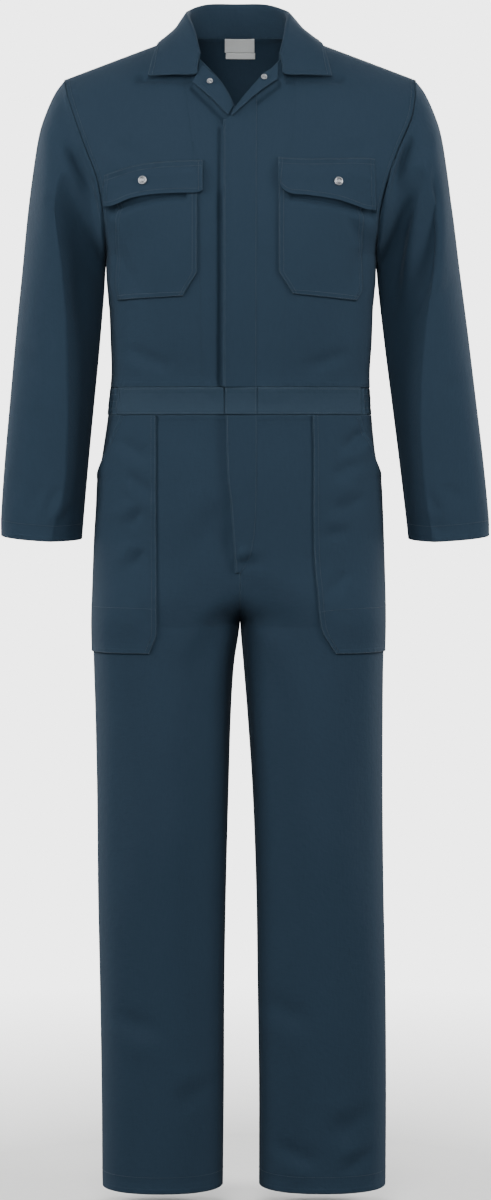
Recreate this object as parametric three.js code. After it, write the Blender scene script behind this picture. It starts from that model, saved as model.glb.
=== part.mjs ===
// Boiler suit, closed to the neck opening and filled out as it is worn, with no wearer.
// Millimetres. X is to the viewer's right, Y to the back, Z up.
// The origin is between the shoulders. Right and left in the names are the wearer's.
import * as THREE from 'three';

// Cloth and seams
const CLOTH = 1.6;
const HEM_CLOTH = 2.6;
const COLLAR_CLOTH = 2.2;
const SEAM = 0.3;
const ON_PANEL = 0.8;

// Levels down the garment
const ARMPIT_Z = -277;
const WAIST_TOP_Z = -454;
const WAIST_BOTTOM_Z = -491;
const HIP_Z = -680;
const CROTCH_Z = -775;
const HEM_Z = -1546;
const HEM_DEEP = 25;

// Shoulder line: a straight slope from the neck point outward, rounded over the middle
const NECK_HALF = 78;
const NECK_POINT_Z = 22.3;
const SHOULDER_SLOPE = 0.379;
const NECK_ROUND = 24;

// Each face of the body: which way it looks, and how it rises to the shoulder and neck
const FRONT = { sign: -1, depth: 'front', rise: 1.9, neckBump: 0, armholeReach: 0.75 };
const BACK = { sign: 1, depth: 'back', rise: 2.6, neckBump: 26, armholeReach: 0.78 };
const ARMHOLE_ROUND = 0.45;

const RIGHT = { name: 'right', sign: -1, half: 'right', inner: -18.6, sway: 0 };
const LEFT = { name: 'left', sign: 1, half: 'left', inner: 18.9, sway: 0.031 };
const SIDES = [RIGHT, LEFT];
const SWAY_FROM_Z = -200;

// Colours read from the cloth and the metal
const NAVY = 0x2c3f50;
const NAVY_BAND = 0x314658;
const LABEL_WHITE = 0xe9ebec;
const STUD_SILVER = 0xb9bdc0;

function table(names, rows) {
  return rows.map((row) => Object.fromEntries(names.map((name, i) => [name, row[i]])));
}

// Torso at each height: half width on each side, depth of front and back, squareness
const TORSO = table(['z', 'right', 'left', 'front', 'back', 'square'], [
  [60, 249, 251, 130, 113, 2.9],
  [22, 245, 247, 130, 113, 2.9],
  [-38, 237, 237, 130, 113, 2.9],
  [-64, 231, 236, 130, 114, 2.9],
  [-94, 221, 230, 130, 115, 2.9],
  [-135, 206, 213, 130, 116, 2.9],
  [-175, 191, 199, 130, 116, 2.9],
  [-215, 184, 189, 130, 116, 2.9],
  [-250, 181, 185, 130, 115, 2.9],
  [-277, 181, 183, 130, 113, 2.9],
  [-311, 180, 182, 129, 108, 2.8],
  [-352, 177.5, 180, 127, 101, 2.75],
  [-393, 176, 178.5, 124, 95, 2.7],
  [-434, 175, 176, 120, 91, 2.6],
  [-475, 178.5, 177.5, 118, 90, 2.5],
  [-495, 180, 179, 118, 92, 2.5],
]);

// Legs at each height: outer edge and inner edge of each leg, depth, squareness
const LEGS = table(
  ['z', 'right', 'left', 'rightInner', 'leftInner', 'front', 'back', 'square'], [
  [-475, 178.5, 177.5, 0, 0, 118, 90, 2.5],
  [-495, 180, 179, 0, 0, 118, 92, 2.5],
  [-536, 186, 183, 0, 0, 118, 101, 2.45],
  [-577, 192, 190, 0, 0, 118, 110, 2.4],
  [-618, 194, 192.5, 0, 0, 116, 116, 2.45],
  [-659, 196.5, 194, 0, 0, 113, 117, 2.55],
  [-727, 199, 196, 0, 0, 108, 113, 2.8],
  [-775, 200.5, 196.5, 0.15, 0.15, 104, 108, 2.8],
  [-830, 199.5, 195.5, 8, 4.5, 101, 104, 2.5],
  [-898, 197.5, 195, 12.3, 10, 97, 99, 2.3],
  [-1003, 195.5, 195, 15.5, 17, 92, 94, 2.2],
  [-1137, 194.5, 196.5, 19, 22, 86, 88, 2.2],
  [-1273, 192, 199.5, 21.3, 24, 81, 82, 2.2],
  [-1410, 190, 200.5, 22, 26, 77, 78, 2.2],
  [-1546, 189, 200, 23.5, 26, 75, 75, 2.2],
]);

// Neck edge of each front from its inner edge out to the neck point
const NECK_EDGE = {
  right: table(['x', 'z'], [
    [-18.6, -112], [-4, -98], [6.7, -82], [16, -62], [28, -43.5],
    [42, -27.5], [54, -14.5], [66, 0.5], [74, 13], [77, 18.8],
  ]),
  left: table(['x', 'z'], [
    [18.9, -51.5], [30, -36.5], [42, -28], [53, -16], [65, -1], [74, 13], [77, 18.8],
  ]),
};
const BACK_NECK_Z = 28;
const BACK_NECK_COLUMNS = 6;

// Sleeve sections from armhole to cuff: outer and inner end, depths, where between the ends
// each front stands out most (0 inner, 1 outer), and how crisp a ridge it makes there
const SLEEVE = table(
  ['t', 'outX', 'outZ', 'inX', 'inZ', 'front', 'back', 'rightRidge', 'leftRidge', 'crisp'], [
  [0, 237, -38, 181, -277, 88, 86, 0.5, 0.5, 0],
  [0.07, 250, -55, 182, -286, 88, 86, 0.52, 0.54, 0],
  [0.14, 262, -80, 183, -295, 86, 85, 0.6, 0.63, 0.3],
  [0.21, 272, -110, 183.5, -307, 84, 83, 0.68, 0.73, 0.7],
  [0.3, 280.5, -160, 184.8, -328, 81, 80, 0.65, 0.77, 1],
  [0.4, 288.5, -222, 187.8, -364, 77, 77, 0.51, 0.71, 1],
  [0.5, 295.5, -294, 192, -412, 72, 73, 0.4, 0.53, 1],
  [0.62, 304, -378, 198, -474, 65, 67, 0.32, 0.36, 1],
  [0.74, 312, -466, 204, -537, 58, 60, 0.26, 0.27, 1],
  [0.86, 320, -556, 209.5, -598, 51, 53, 0.24, 0.24, 0.9],
  [0.96, 325, -630, 213.5, -645, 46, 48, 0.33, 0.27, 0.7],
  [1, 325, -654, 214.5, -659, 45, 47, 0.37, 0.3, 0.6],
]);
const SLEEVE_SQUARE = 2.15;
const RIDGE_BACK = 0.5;
const RIDGE_POWER = 0.75;
const SLEEVE_FORWARD = 14;
const CUFF_DIP = 5;
const CUFF_DEEP = 0.04;
// Shares of the sleeve: where it has left the form of the armhole, where it turns forward
// from, and where its cuff dips from
const ARMHOLE_SHARE = 0.32;
const FORWARD_FROM = 0.3;
const DIP_FROM = 0.9;

// Drag folds in the sleeves, seen from the front or back: start, middle and end measured
// outward and up, half width and depth inward, which is below zero in a raised one
const FOLDS = table(['side', 'face', 'x0', 'z0', 'x1', 'z1', 'x2', 'z2', 'width', 'depth'], [
  ['right', 'front', 240, -123, 208, -176, 186, -262, 15, 8],
  ['left', 'front', 236, -114, 214, -156, 206, -232, 14, 8],
  ['left', 'front', 238, -176, 234, -262, 208, -392, 15, -8],
  ['left', 'front', 258, -160, 252, -268, 226, -372, 13, 8],
  ['right', 'back', 246, -120, 222, -190, 194, -268, 17, 7],
  ['right', 'back', 268, -222, 246, -292, 218, -346, 16, 6],
  ['left', 'back', 250, -128, 224, -204, 196, -282, 16, 8],
  ['left', 'back', 274, -262, 254, -340, 226, -396, 16, 6],
]);
const FOLD_FADE = 26;
const FOLDS_FROM = 0.1;

// Collar at half its stations from the middle of the back (0) to the front end (1):
// top of the fold, middle of the fall and its edge
const COLLAR = table(['s', 'foldX', 'foldY', 'foldZ', 'midX', 'midY', 'midZ', 'edgeX', 'edgeY', 'edgeZ'], [
  [0, 0, 76, 73, 0, 83, 44, 0, 84, 14],
  [0.2, 39, 66, 71.5, 45, 72, 43, 51, 74, 14],
  [0.4, 64, 36, 61, 80, 44, 38, 95, 46, 15],
  [0.6, 68, -4, 49, 86, -4, 32, 110, -4, 14],
  [0.8, 62.5, -36, 30, 86, -40, 12, 116, -46, -8],
  [1, 53.5, -70, -9, 59, -84, -37, 123, -72, -39],
]);
const COLLAR_FOLD_RADIUS = 3.2;
const COLLAR_FOLD_STEPS = 4;
const COLLAR_SEAT = 0.6;
const COLLAR_LEAN = 0.1;
// Share of the collar from the back to the shoulder seam, and where its end stands on the neck edge
const COLLAR_SHOULDER = 0.6;
const COLLAR_END_X = 50;

// Neck facings turned out over the fronts: fold and outer edge, from the collar down
const LAPEL = {
  right: table(['foldX', 'foldZ', 'outX', 'outZ'], [
    [50, -24.5, 62.5, -50],
    [41, -33, 53, -59],
    [30, -43.5, 41, -69.5],
    [20, -58, 30, -80.5],
    [12.5, -71.5, 21, -90],
    [8.5, -81, 15.5, -95.5],
  ]),
  left: table(['foldX', 'foldZ', 'outX', 'outZ'], [
    [50, -23, 49.5, -47],
    [38, -33.5, 39, -54],
    [28, -41.5, 28.5, -61.5],
    [17, -54, 18, -70],
    [6, -67, 8, -79.5],
    [-4, -80, -1.5, -88.5],
    [-12, -93, -10, -97],
  ]),
};
const LAPEL_COLUMNS = 3;
const LAPEL_LIFT = { right: [0.7, 5], left: [2.9, 6] };

// Upper placket: its columns, each with the height of its top
const PLACKET_TOP = table(['x', 'z'], [
  [-22, -100.5], [-14, -97.5], [-5.4, -82], [9, -65], [23, -48],
]);
const PLACKET_ROWS = 14;

// Lower fly: left and right edge going down, the right one turning in to a J
const FLY = table(['z', 'x0', 'x1'], [
  [-491.8, -19, 23], [-536, -18.2, 23], [-577, -16.5, 23], [-612, -12.5, 22.5],
  [-648, -10, 20.5], [-672, -8.5, 16.5], [-690, -7.5, 10.5], [-702, -6.8, 2],
]);
const FLY_COLUMNS = 5;

// Waistband: ends of its pieces, and the gathers of the elastic back
const LAP_X = { right: -20.4, left: 23.2 };
const BAND_JOIN = 0.91;
const BAND_PROUD = 1;
const LAP_PROUD = 0.9;
const BAND_COLUMNS = 9;
const GATHERS = 32;
const GATHER_SAMPLES = 4;
const GATHER_DEEP = 1.5;

// Chest pockets: height at the inner and outer end of each row, and those ends
const CHEST_POCKET = {
  right: table(['zInner', 'zOuter', 'inner', 'outer'], [
    [-334, -338, 75, 162], [-319, -322, 66.5, 164], [-303, -305, 56.5, 164.5],
    [-277, -280, 56.5, 164.5], [-250, -254, 56.5, 164.5], [-225, -231, 56.5, 164.5],
    [-202, -210, 56.5, 164], [-181, -190, 56.5, 163.5],
  ]),
  left: table(['zInner', 'zOuter', 'inner', 'outer'], [
    [-331, -339, 69.5, 154], [-317, -325, 61, 162.5], [-302, -304, 51, 163.5],
    [-277, -280, 51, 163.5], [-250, -254, 51, 163.5], [-225, -231, 51, 163.5],
    [-202, -210, 51, 163.5], [-181, -190, 51, 163.5],
  ]),
};
const POCKET_COLUMNS = 8;
const POCKET_SIDE_LIFT = 0.5;
const POCKET_LIFT_FROM = 0.5;
const POCKET_LIFT_TO = 0.9;

// Pocket flaps: a column in each row, with the lift of the free edge
const FLAP = {
  right: table(['x', 'top', 'bottom', 'lift'], [
    [49, -154, -195, 3.6], [55, -154, -198, 4.4], [76, -154.5, -198.5, 4.6],
    [100, -155.5, -199, 4.6], [125, -158, -201, 5], [145, -162, -205, 7.5],
    [160, -166, -210.5, 8], [172, -169.5, -213, 5], [180, -172, -212, 3.6],
  ]),
  left: table(['x', 'top', 'bottom', 'lift'], [
    [50.5, -150, -183, 3.6], [56, -150.5, -193, 5], [66, -151, -199.5, 6],
    [86, -151.5, -201, 5], [108, -151, -203.5, 4.8], [130, -150.5, -207, 5],
    [150, -150, -213, 5], [165, -150, -218, 4.2], [179, -150.5, -218, 3.6],
  ]),
};
// Rows of a flap from its free edge up: how near the pocket it lies, and how far the edge lifts it
const FLAP_ROWS = table(['share', 'near', 'free'], [
  [0, 3.4, 1], [0.3, 3.4, 0.2], [0.62, 3.3, 0], [0.84, 0.9, 0], [1, 0.7, 0],
]);

// Hip pockets: inner edge, and the share of the half width that the mouth reaches
const HIP_POCKET = {
  right: table(['z', 'inner', 'mouth'], [
    [-811, 121, 1], [-796, 115, 1], [-786, 111.3, 1], [-775, 111, 1], [-766, 111, 1],
    [-752, 111, 1], [-727, 111, 1], [-700, 111, 1], [-680, 111, 1], [-648, 111, 1],
    [-612, 111, 1], [-577, 111, 0.999], [-571, 111, 0.991], [-558, 111, 0.975],
    [-536, 111, 0.945], [-513, 111, 0.91], [-491.8, 111, 0.876],
  ]),
  left: table(['z', 'inner', 'mouth'], [
    [-811, 128, 1], [-796, 118, 1], [-786, 112, 1], [-775, 108, 1], [-766, 106.8, 1],
    [-752, 105, 1], [-727, 103, 1], [-700, 100, 1], [-680, 98.8, 1], [-648, 98, 1],
    [-612, 97.6, 1], [-577, 97.6, 0.999], [-571, 97.6, 0.991], [-558, 97.6, 0.975],
    [-536, 97.3, 0.945], [-513, 96.5, 0.91], [-491.8, 96, 0.876],
  ]),
};
const HIP_POCKET_COLUMNS = 9;
const MOUTH_FROM_Z = -580;
const MOUTH_FULL_Z = -568;
const MOUTH_GAPE = 2.4;

// Press studs: radius of the cap and its seat on the body at x and z
const STUDS = table(['on', 'side', 'x', 'z', 'radius', 'seat'], [
  ['neck', 'right', 39.5, -49.5, 4.2, 6.2],
  ['neck', 'left', 31.5, -44.5, 4.2, 7.2],
  ['flap', 'right', 128, -181, 6, 5.6],
  ['flap', 'left', 130, -182, 6, 5.6],
]);
const STUD_SIDES = 14;
const STUD_CAP = table(['share', 'height'], [
  [0, 0], [0.9, 0], [1, 0.5], [0.86, 1.5], [0.5, 2.1], [0, 2.3],
]);

// Label and the small strip under it, on the inside of the back
const LABELS = table(['name', 'x0', 'x1', 'z0', 'z1'], [
  ['label', -21.5, 20.5, 8.7, 26.6],
  ['label_strip', -20, 21.5, 0, 8.2],
]);
const LABEL_CLOTH = 1;

// Sampling
const NECK_TO_ARM_COLUMNS = 8;
const LEVEL_TURNS = 12;
const ARMHOLE_STEPS = 12;
const TORSO_ROWS_Z = [-453.7, -425, -393, -352, -311, ARMPIT_Z];
const SLEEVE_RINGS = 15;
const LEG_COLUMNS = 9;
const LEG_ROWS_Z = [
  HEM_Z, HEM_Z + HEM_DEEP, -1410, -1273, -1137, -1003, -898, -830, -796, CROTCH_Z,
  -766, -752, -727, -700, HIP_Z, -648, -612, -577, -558, -536, -513, -491.3,
];

const mix = (a, b, t) => a + (b - a) * t;
const clamp = (v, low, high) => Math.min(high, Math.max(low, v));
const power = (base, exponent) => Math.sign(base) * Math.abs(base) ** exponent;

function ease(from, to, v) {
  const t = clamp((v - from) / (to - from), 0, 1);
  return t * t * (3 - 2 * t);
}

// Reads one column of a table as a smooth curve through its rows
function read(rows, key, at, name) {
  const down = rows[0][key] > rows[rows.length - 1][key];
  const list = down ? [...rows].reverse() : rows;
  const last = list.length - 1;
  const v = clamp(at, list[0][key], list[last][key]);
  let i = 0;
  while (i < last - 1 && v > list[i + 1][key]) i += 1;
  const rise = (a, b) => (list[b][name] - list[a][name]) / (list[b][key] - list[a][key]);
  const slope = (j) => rise(Math.max(0, j - 1), Math.min(last, j + 1));
  const span = list[i + 1][key] - list[i][key];
  const t = (v - list[i][key]) / span;
  const m0 = slope(i) * span;
  const m1 = slope(i + 1) * span;
  const p0 = list[i][name];
  const p1 = list[i + 1][name];
  return p0 + t * (m0 + t * (3 * (p1 - p0) - 2 * m0 - m1 + t * (2 * (p0 - p1) + m0 + m1)));
}

// The body form

function shoulderLine(face, x) {
  const far = Math.hypot(x, NECK_ROUND) - (Math.hypot(NECK_HALF, NECK_ROUND) - NECK_HALF);
  const inside = Math.max(0, 1 - (x / NECK_HALF) ** 2) ** 2;
  return NECK_POINT_Z - SHOULDER_SLOPE * (far - NECK_HALF) + face.neckBump * inside;
}

// One level of the body on one side; x is measured outward from the middle
function section(side, z) {
  if (z >= WAIST_BOTTOM_Z) {
    const at = (name) => read(TORSO, 'z', z, name);
    return { centre: 0, half: at(side.half), front: at('front'), back: at('back'), square: at('square') };
  }
  const at = (name) => read(LEGS, 'z', z, name);
  const outer = at(side.half);
  const split = 1 - ease(CROTCH_Z, HIP_Z, z);
  const inner = mix(-outer, Math.max(at(`${side.half}Inner`), SEAM / 2), split);
  return {
    centre: (outer + inner) / 2,
    half: (outer - inner) / 2,
    front: at('front'),
    back: at('back'),
    square: at('square'),
  };
}

// Depth of the outer cloth at x and z on one side and face
function surfaceY(side, face, x, z) {
  const level = section(side, z);
  const c = Math.min(1, Math.abs(x - level.centre) / level.half);
  const up = clamp((z - ARMPIT_Z) / (shoulderLine(face, x) - ARMPIT_Z), 0, 1);
  const opened = clamp(up / ARMHOLE_ROUND, 0, 1);
  const reach = face.armholeReach * Math.sqrt(1 - (1 - opened) ** 2);
  const closing = 1 - reach ** level.square;
  const across = Math.max(0, 1 - closing * c ** level.square) ** (1 / level.square);
  const over = Math.max(0, 1 - up ** face.rise) ** (1 / face.rise);
  return face.sign * level[face.depth] * across * over;
}

function onBody(side, face, x, z) {
  return new THREE.Vector3(side.sign * x, surfaceY(side, face, x, z), z);
}

// The same, for an x that runs across both sides
function onFace(face, x, z) {
  return onBody(x < 0 ? RIGHT : LEFT, face, Math.abs(x), z);
}

// Height where a column that ends at x on the shoulder line or neck edge meets it
function columnAt(side, x, topZ) {
  return { c: x / section(side, topZ).half, topX: x, topZ };
}

// Columns from the neck point out to the armhole, closer together towards the side
function shoulderColumns(side, face) {
  const square = TORSO[0].square;
  const neckC = NECK_HALF / section(side, NECK_POINT_Z).half;
  const first = Math.asin(neckC ** (square / 2));
  const columns = [];
  for (let j = 0; j <= NECK_TO_ARM_COLUMNS; j += 1) {
    const angle = mix(first, Math.PI / 2, j / NECK_TO_ARM_COLUMNS);
    const c = Math.sin(angle) ** (2 / square);
    let z = NECK_POINT_Z;
    for (let turn = 0; turn < LEVEL_TURNS; turn += 1) z = shoulderLine(face, c * section(side, z).half);
    columns.push({ c, topX: c * section(side, z).half, topZ: z });
  }
  columns[0].topX = NECK_HALF;
  columns[0].topZ = NECK_POINT_Z;
  return columns;
}

// Heights of a column: the torso rows up to the armpit, then a share of the way to its top
function columnHeights(topZ) {
  const heights = [...TORSO_ROWS_Z];
  for (let k = 1; k <= ARMHOLE_STEPS; k += 1) {
    const share = (1 - Math.cos((Math.PI * k) / ARMHOLE_STEPS)) / 2;
    heights.push(mix(ARMPIT_Z, topZ, share));
  }
  return heights;
}

// Walls: a grid of points becomes a closed sheet of cloth

function gridNormals(grid, wrap, core) {
  const rows = grid.length;
  const cols = grid[0].length;
  const normals = grid.map((row, i) => row.map((p, j) => {
    const left = wrap ? grid[i][(j + cols - 1) % cols] : grid[i][Math.max(0, j - 1)];
    const right = wrap ? grid[i][(j + 1) % cols] : grid[i][Math.min(cols - 1, j + 1)];
    const below = grid[Math.max(0, i - 1)][j];
    const above = grid[Math.min(rows - 1, i + 1)][j];
    return right.clone().sub(left).cross(above.clone().sub(below)).normalize();
  }));
  let facing = 0;
  grid.forEach((row, i) => row.forEach((p, j) => {
    facing += normals[i][j].dot(p.clone().sub(core(p)));
  }));
  const outward = facing >= 0 ? 1 : -1;
  normals.forEach((row) => row.forEach((n) => n.multiplyScalar(outward)));
  return { normals, outward };
}

const AXIS = (p) => new THREE.Vector3(0, 0, p.z);
const value = (v, i, j) => (typeof v === 'function' ? v(i, j) : v);

// lift is how far the inner face stands off the given points, thick is the wall
function wall(grid, { lift = -CLOTH, thick = CLOTH, wrap = false, core = AXIS, shape = null } = {}) {
  const rows = grid.length;
  const cols = grid[0].length;
  const { normals, outward } = shape ?? gridNormals(grid, wrap, core);
  const positions = [];
  const put = (offset) => grid.forEach((row, i) => row.forEach((p, j) => {
    const q = p.clone().addScaledVector(normals[i][j], offset(i, j));
    positions.push(q.x, q.y, q.z);
  }));
  put((i, j) => value(lift, i, j) + value(thick, i, j));
  put((i, j) => value(lift, i, j));
  const outer = (i, j) => i * cols + (j % cols);
  const inner = (i, j) => rows * cols + outer(i, j);
  const triangles = [];
  const quad = (a, b, c, d) => {
    if (outward > 0) triangles.push(a, b, c, a, c, d);
    else triangles.push(a, c, b, a, d, c);
  };
  const spans = wrap ? cols : cols - 1;
  for (let i = 0; i < rows - 1; i += 1) {
    for (let j = 0; j < spans; j += 1) {
      quad(outer(i, j), outer(i, j + 1), outer(i + 1, j + 1), outer(i + 1, j));
      quad(inner(i, j), inner(i + 1, j), inner(i + 1, j + 1), inner(i, j + 1));
    }
    if (!wrap) {
      quad(outer(i, cols - 1), inner(i, cols - 1), inner(i + 1, cols - 1), outer(i + 1, cols - 1));
      quad(outer(i + 1, 0), inner(i + 1, 0), inner(i, 0), outer(i, 0));
    }
  }
  for (let j = 0; j < spans; j += 1) {
    quad(outer(0, j), inner(0, j), inner(0, j + 1), outer(0, j + 1));
    quad(outer(rows - 1, j + 1), inner(rows - 1, j + 1), inner(rows - 1, j), outer(rows - 1, j));
  }
  const geometry = new THREE.BufferGeometry();
  geometry.setAttribute('position', new THREE.Float32BufferAttribute(positions, 3));
  geometry.setIndex(triangles);
  geometry.computeVertexNormals();
  return geometry;
}

const suit = new THREE.Group();

function cloth(colour = NAVY) {
  return new THREE.MeshStandardMaterial({ color: colour, roughness: 0.88, metalness: 0 });
}

function add(name, geometry, material = cloth()) {
  const mesh = new THREE.Mesh(geometry, material);
  mesh.name = name;
  suit.add(mesh);
  return mesh;
}

// Fronts and back

function frontGrid(side) {
  const neck = NECK_EDGE[side.name];
  const columns = neck.map(({ x, z }) => columnAt(side, x, z)).concat(shoulderColumns(side, FRONT));
  const heights = columns.map(({ topZ }) => columnHeights(topZ));
  return heights[0].map((_, i) => columns.map(({ topX, topZ }, j) => {
    const z = heights[j][i];
    const topHalf = section(side, topZ).half;
    const w = (topX - side.inner) / (topHalf - side.inner);
    const x = mix(side.inner, section(side, z).half, w);
    const p = onBody(side, FRONT, x, z);
    const atEdge = j === columns.length - 1 && i < TORSO_ROWS_Z.length;
    const atShoulder = i === heights[0].length - 1 && j >= neck.length;
    if (atEdge || atShoulder) p.y = Math.min(p.y, -SEAM / 2);
    return p;
  }));
}

function backNeckColumns(side) {
  const columns = [];
  for (let j = 0; j < BACK_NECK_COLUMNS; j += 1) {
    const x = NECK_HALF * Math.sin((Math.PI / 2) * (j / BACK_NECK_COLUMNS));
    const z = mix(BACK_NECK_Z, NECK_POINT_Z, (x / NECK_HALF) ** 2);
    columns.push(columnAt(side, x, z));
  }
  return columns;
}

function backGrid() {
  const half = (side) => {
    const neck = backNeckColumns(side);
    const columns = neck.concat(shoulderColumns(side, BACK));
    const heights = columns.map(({ topZ }) => columnHeights(topZ));
    return heights[0].map((_, i) => columns.map(({ c }, j) => {
      const z = heights[j][i];
      const p = onBody(side, BACK, c * section(side, z).half, z);
      const atEdge = j === columns.length - 1 && i < TORSO_ROWS_Z.length;
      const atShoulder = i === heights[0].length - 1 && j >= neck.length;
      if (atEdge || atShoulder) p.y = Math.max(p.y, SEAM / 2);
      return p;
    }));
  };
  const left = half(LEFT);
  const right = half(RIGHT);
  return left.map((row, i) => [...row].reverse().concat(right[i].slice(1)));
}

// Sleeves

function armholePoint(side, face, share) {
  const top = shoulderColumns(side, face)[NECK_TO_ARM_COLUMNS].topZ;
  const z = mix(ARMPIT_Z, top, share);
  const half = section(side, z).half;
  const y = surfaceY(side, face, half, z);
  return new THREE.Vector3(side.sign * half, y, z);
}

// turn runs 0 at the armpit, a quarter at the front, a half on top, then the back
function sleeveRing(side, t, turn) {
  const at = (name) => read(SLEEVE, 't', t, name);
  const angle = turn * 2 * Math.PI;
  const face = Math.sin(angle) >= 0 ? FRONT : BACK;
  const ridge = face === FRONT ? at(`${side.half}Ridge`) : RIDGE_BACK;
  const inside = Math.cos(angle) > 0;
  const share = ridge - Math.cos(angle) * (inside ? ridge : 1 - ridge);
  const round = Math.abs(Math.sin(angle)) ** (2 / SLEEVE_SQUARE);
  const crisp = face === FRONT && inside ? at('crisp') : 0;
  const bulge = mix(round, Math.max(0, share / ridge) ** RIDGE_POWER, crisp);
  const z = mix(at('inZ'), at('outZ'), share);
  const away = side.sway * Math.max(0, SWAY_FROM_Z - z);
  const forward = -SLEEVE_FORWARD * ease(FORWARD_FROM, 1, t);
  const dip = face === FRONT ? CUFF_DIP * ease(DIP_FROM, 1, t) * bulge : 0;
  return new THREE.Vector3(
    side.sign * (mix(at('inX'), at('outX'), share) + away),
    forward + face.sign * at(face.depth) * bulge,
    z - dip,
  );
}

// How far the folds pull in a point of the sleeve; they fade out at its ends and edges
function foldDepth(side, t, turn, p) {
  const face = turn < 0.5 ? FRONT : BACK;
  const x = side.sign * p.x;
  let depth = 0;
  FOLDS.filter((fold) => fold.side === side.name && fold.face === face.depth).forEach((fold) => {
    const spans = [
      [fold.x0, fold.z0, fold.x1, fold.z1],
      [fold.x1, fold.z1, fold.x2, fold.z2],
    ];
    const away = spans.map(([ax, az, bx, bz]) => {
      const long = (bx - ax) ** 2 + (bz - az) ** 2;
      const along = clamp(((x - ax) * (bx - ax) + (p.z - az) * (bz - az)) / long, 0, 1);
      return Math.hypot(x - mix(ax, bx, along), p.z - mix(az, bz, along));
    });
    const ends = Math.min(Math.hypot(x - fold.x0, p.z - fold.z0), Math.hypot(x - fold.x2, p.z - fold.z2));
    const fade = ease(-FOLD_FADE, FOLD_FADE, ends);
    depth += fold.depth * fade * Math.exp(-((Math.min(...away) / fold.width) ** 2));
  });
  return depth * Math.abs(Math.sin(turn * 2 * Math.PI)) * ease(0, FOLDS_FROM, t);
}

// The last ring is the cuff's edge, the one before it the top of the hem
function ringShare(i) {
  return i < SLEEVE_RINGS ? (i / (SLEEVE_RINGS - 1)) * (1 - CUFF_DEEP) : 1;
}

function sleeveGrid(side) {
  const columns = ARMHOLE_STEPS * 2;
  const rings = [];
  for (let i = 0; i <= SLEEVE_RINGS; i += 1) {
    const t = ringShare(i);
    const ring = [];
    for (let j = 0; j < columns; j += 1) {
      const turn = j / columns;
      const face = turn < 0.5 ? FRONT : BACK;
      const share = (1 - Math.cos(turn * 2 * Math.PI)) / 2;
      const seat = armholePoint(side, face, share).sub(sleeveRing(side, 0, turn));
      ring.push(sleeveRing(side, t, turn).addScaledVector(seat, 1 - ease(0, ARMHOLE_SHARE, t)));
    }
    rings.push(ring);
  }
  rings[0] = rings[0].map((p, j) => {
    const next = rings[1][j].clone().sub(p).normalize();
    return p.clone().addScaledVector(next, SEAM);
  });
  const middle = rings.map((ring) => ring.reduce((sum, p) => sum.add(p), new THREE.Vector3())
    .divideScalar(columns));
  const core = (p) => middle.reduce((best, m) => (m.distanceTo(p) < best.distanceTo(p) ? m : best));
  const shape = gridNormals(rings, true, core);
  rings.forEach((ring, i) => ring.forEach((p, j) => {
    p.addScaledVector(shape.normals[i][j], -foldDepth(side, ringShare(i), j / columns, p));
  }));
  return { grid: rings, core };
}

// Where the seam turns over a corner, both walls end on the same slant; round the armhole
// that begins at one share of its height and is full at the other
const SHARED_FROM = 0.3;
const SHARED_TO = 0.6;

function shareNormals(one, i, j, other, k, l, amount) {
  const a = one.normals[i][j];
  const b = other.normals[k][l];
  const both = a.clone().add(b).normalize();
  a.lerp(both, amount).normalize();
  b.lerp(both, amount).normalize();
}

const back = backGrid();
const backShape = gridNormals(back, false, AXIS);
const lastRow = back.length - 1;

SIDES.forEach((side) => {
  const front = frontGrid(side);
  const frontShape = gridNormals(front, false, AXIS);
  const { grid: sleeve, core } = sleeveGrid(side);
  const sleeveShape = gridNormals(sleeve, true, core);
  const lastColumn = front[0].length - 1;
  const backColumn = side === LEFT ? 0 : back[0].length - 1;
  const firstRow = TORSO_ROWS_Z.length - 1;
  for (let k = 0; k <= ARMHOLE_STEPS; k += 1) {
    const amount = ease(SHARED_FROM, SHARED_TO, k / ARMHOLE_STEPS);
    shareNormals(frontShape, firstRow + k, lastColumn, sleeveShape, 0, k, amount);
    const turned = (2 * ARMHOLE_STEPS - k) % (2 * ARMHOLE_STEPS);
    shareNormals(backShape, firstRow + k, backColumn, sleeveShape, 0, turned, amount);
  }
  const columns = shoulderColumns(side, FRONT).length;
  for (let j = 0; j < columns; j += 1) {
    const b = side === LEFT ? j : back[0].length - 1 - j;
    shareNormals(frontShape, lastRow, lastColumn - j, backShape, lastRow, b, 1);
  }
  add(`front_${side.name}`, wall(front, { shape: frontShape }));
  const rim = (i) => (i >= SLEEVE_RINGS - 1 ? HEM_CLOTH : CLOTH);
  add(`sleeve_${side.name}`, wall(sleeve, {
    wrap: true, shape: sleeveShape, lift: (i) => -rim(i), thick: rim,
  }));
});
add('back', wall(back, { shape: backShape }));

// Legs

function legAngle(side, z, x) {
  const level = section(side, z);
  return Math.acos(clamp(power((x - level.centre) / level.half, level.square / 2), -1, 1));
}

function legPoint(side, face, z, angle) {
  const level = section(side, z);
  const x = level.centre + level.half * power(Math.cos(angle), 2 / level.square);
  const out = level[face.depth] * Math.max(0, Math.sin(angle)) ** (2 / level.square);
  return new THREE.Vector3(side.sign * x, face.sign * Math.max(SEAM / 2, out), z);
}

function legCore(side) {
  return (p) => new THREE.Vector3(side.sign * section(side, p.z).centre, 0, p.z);
}

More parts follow.
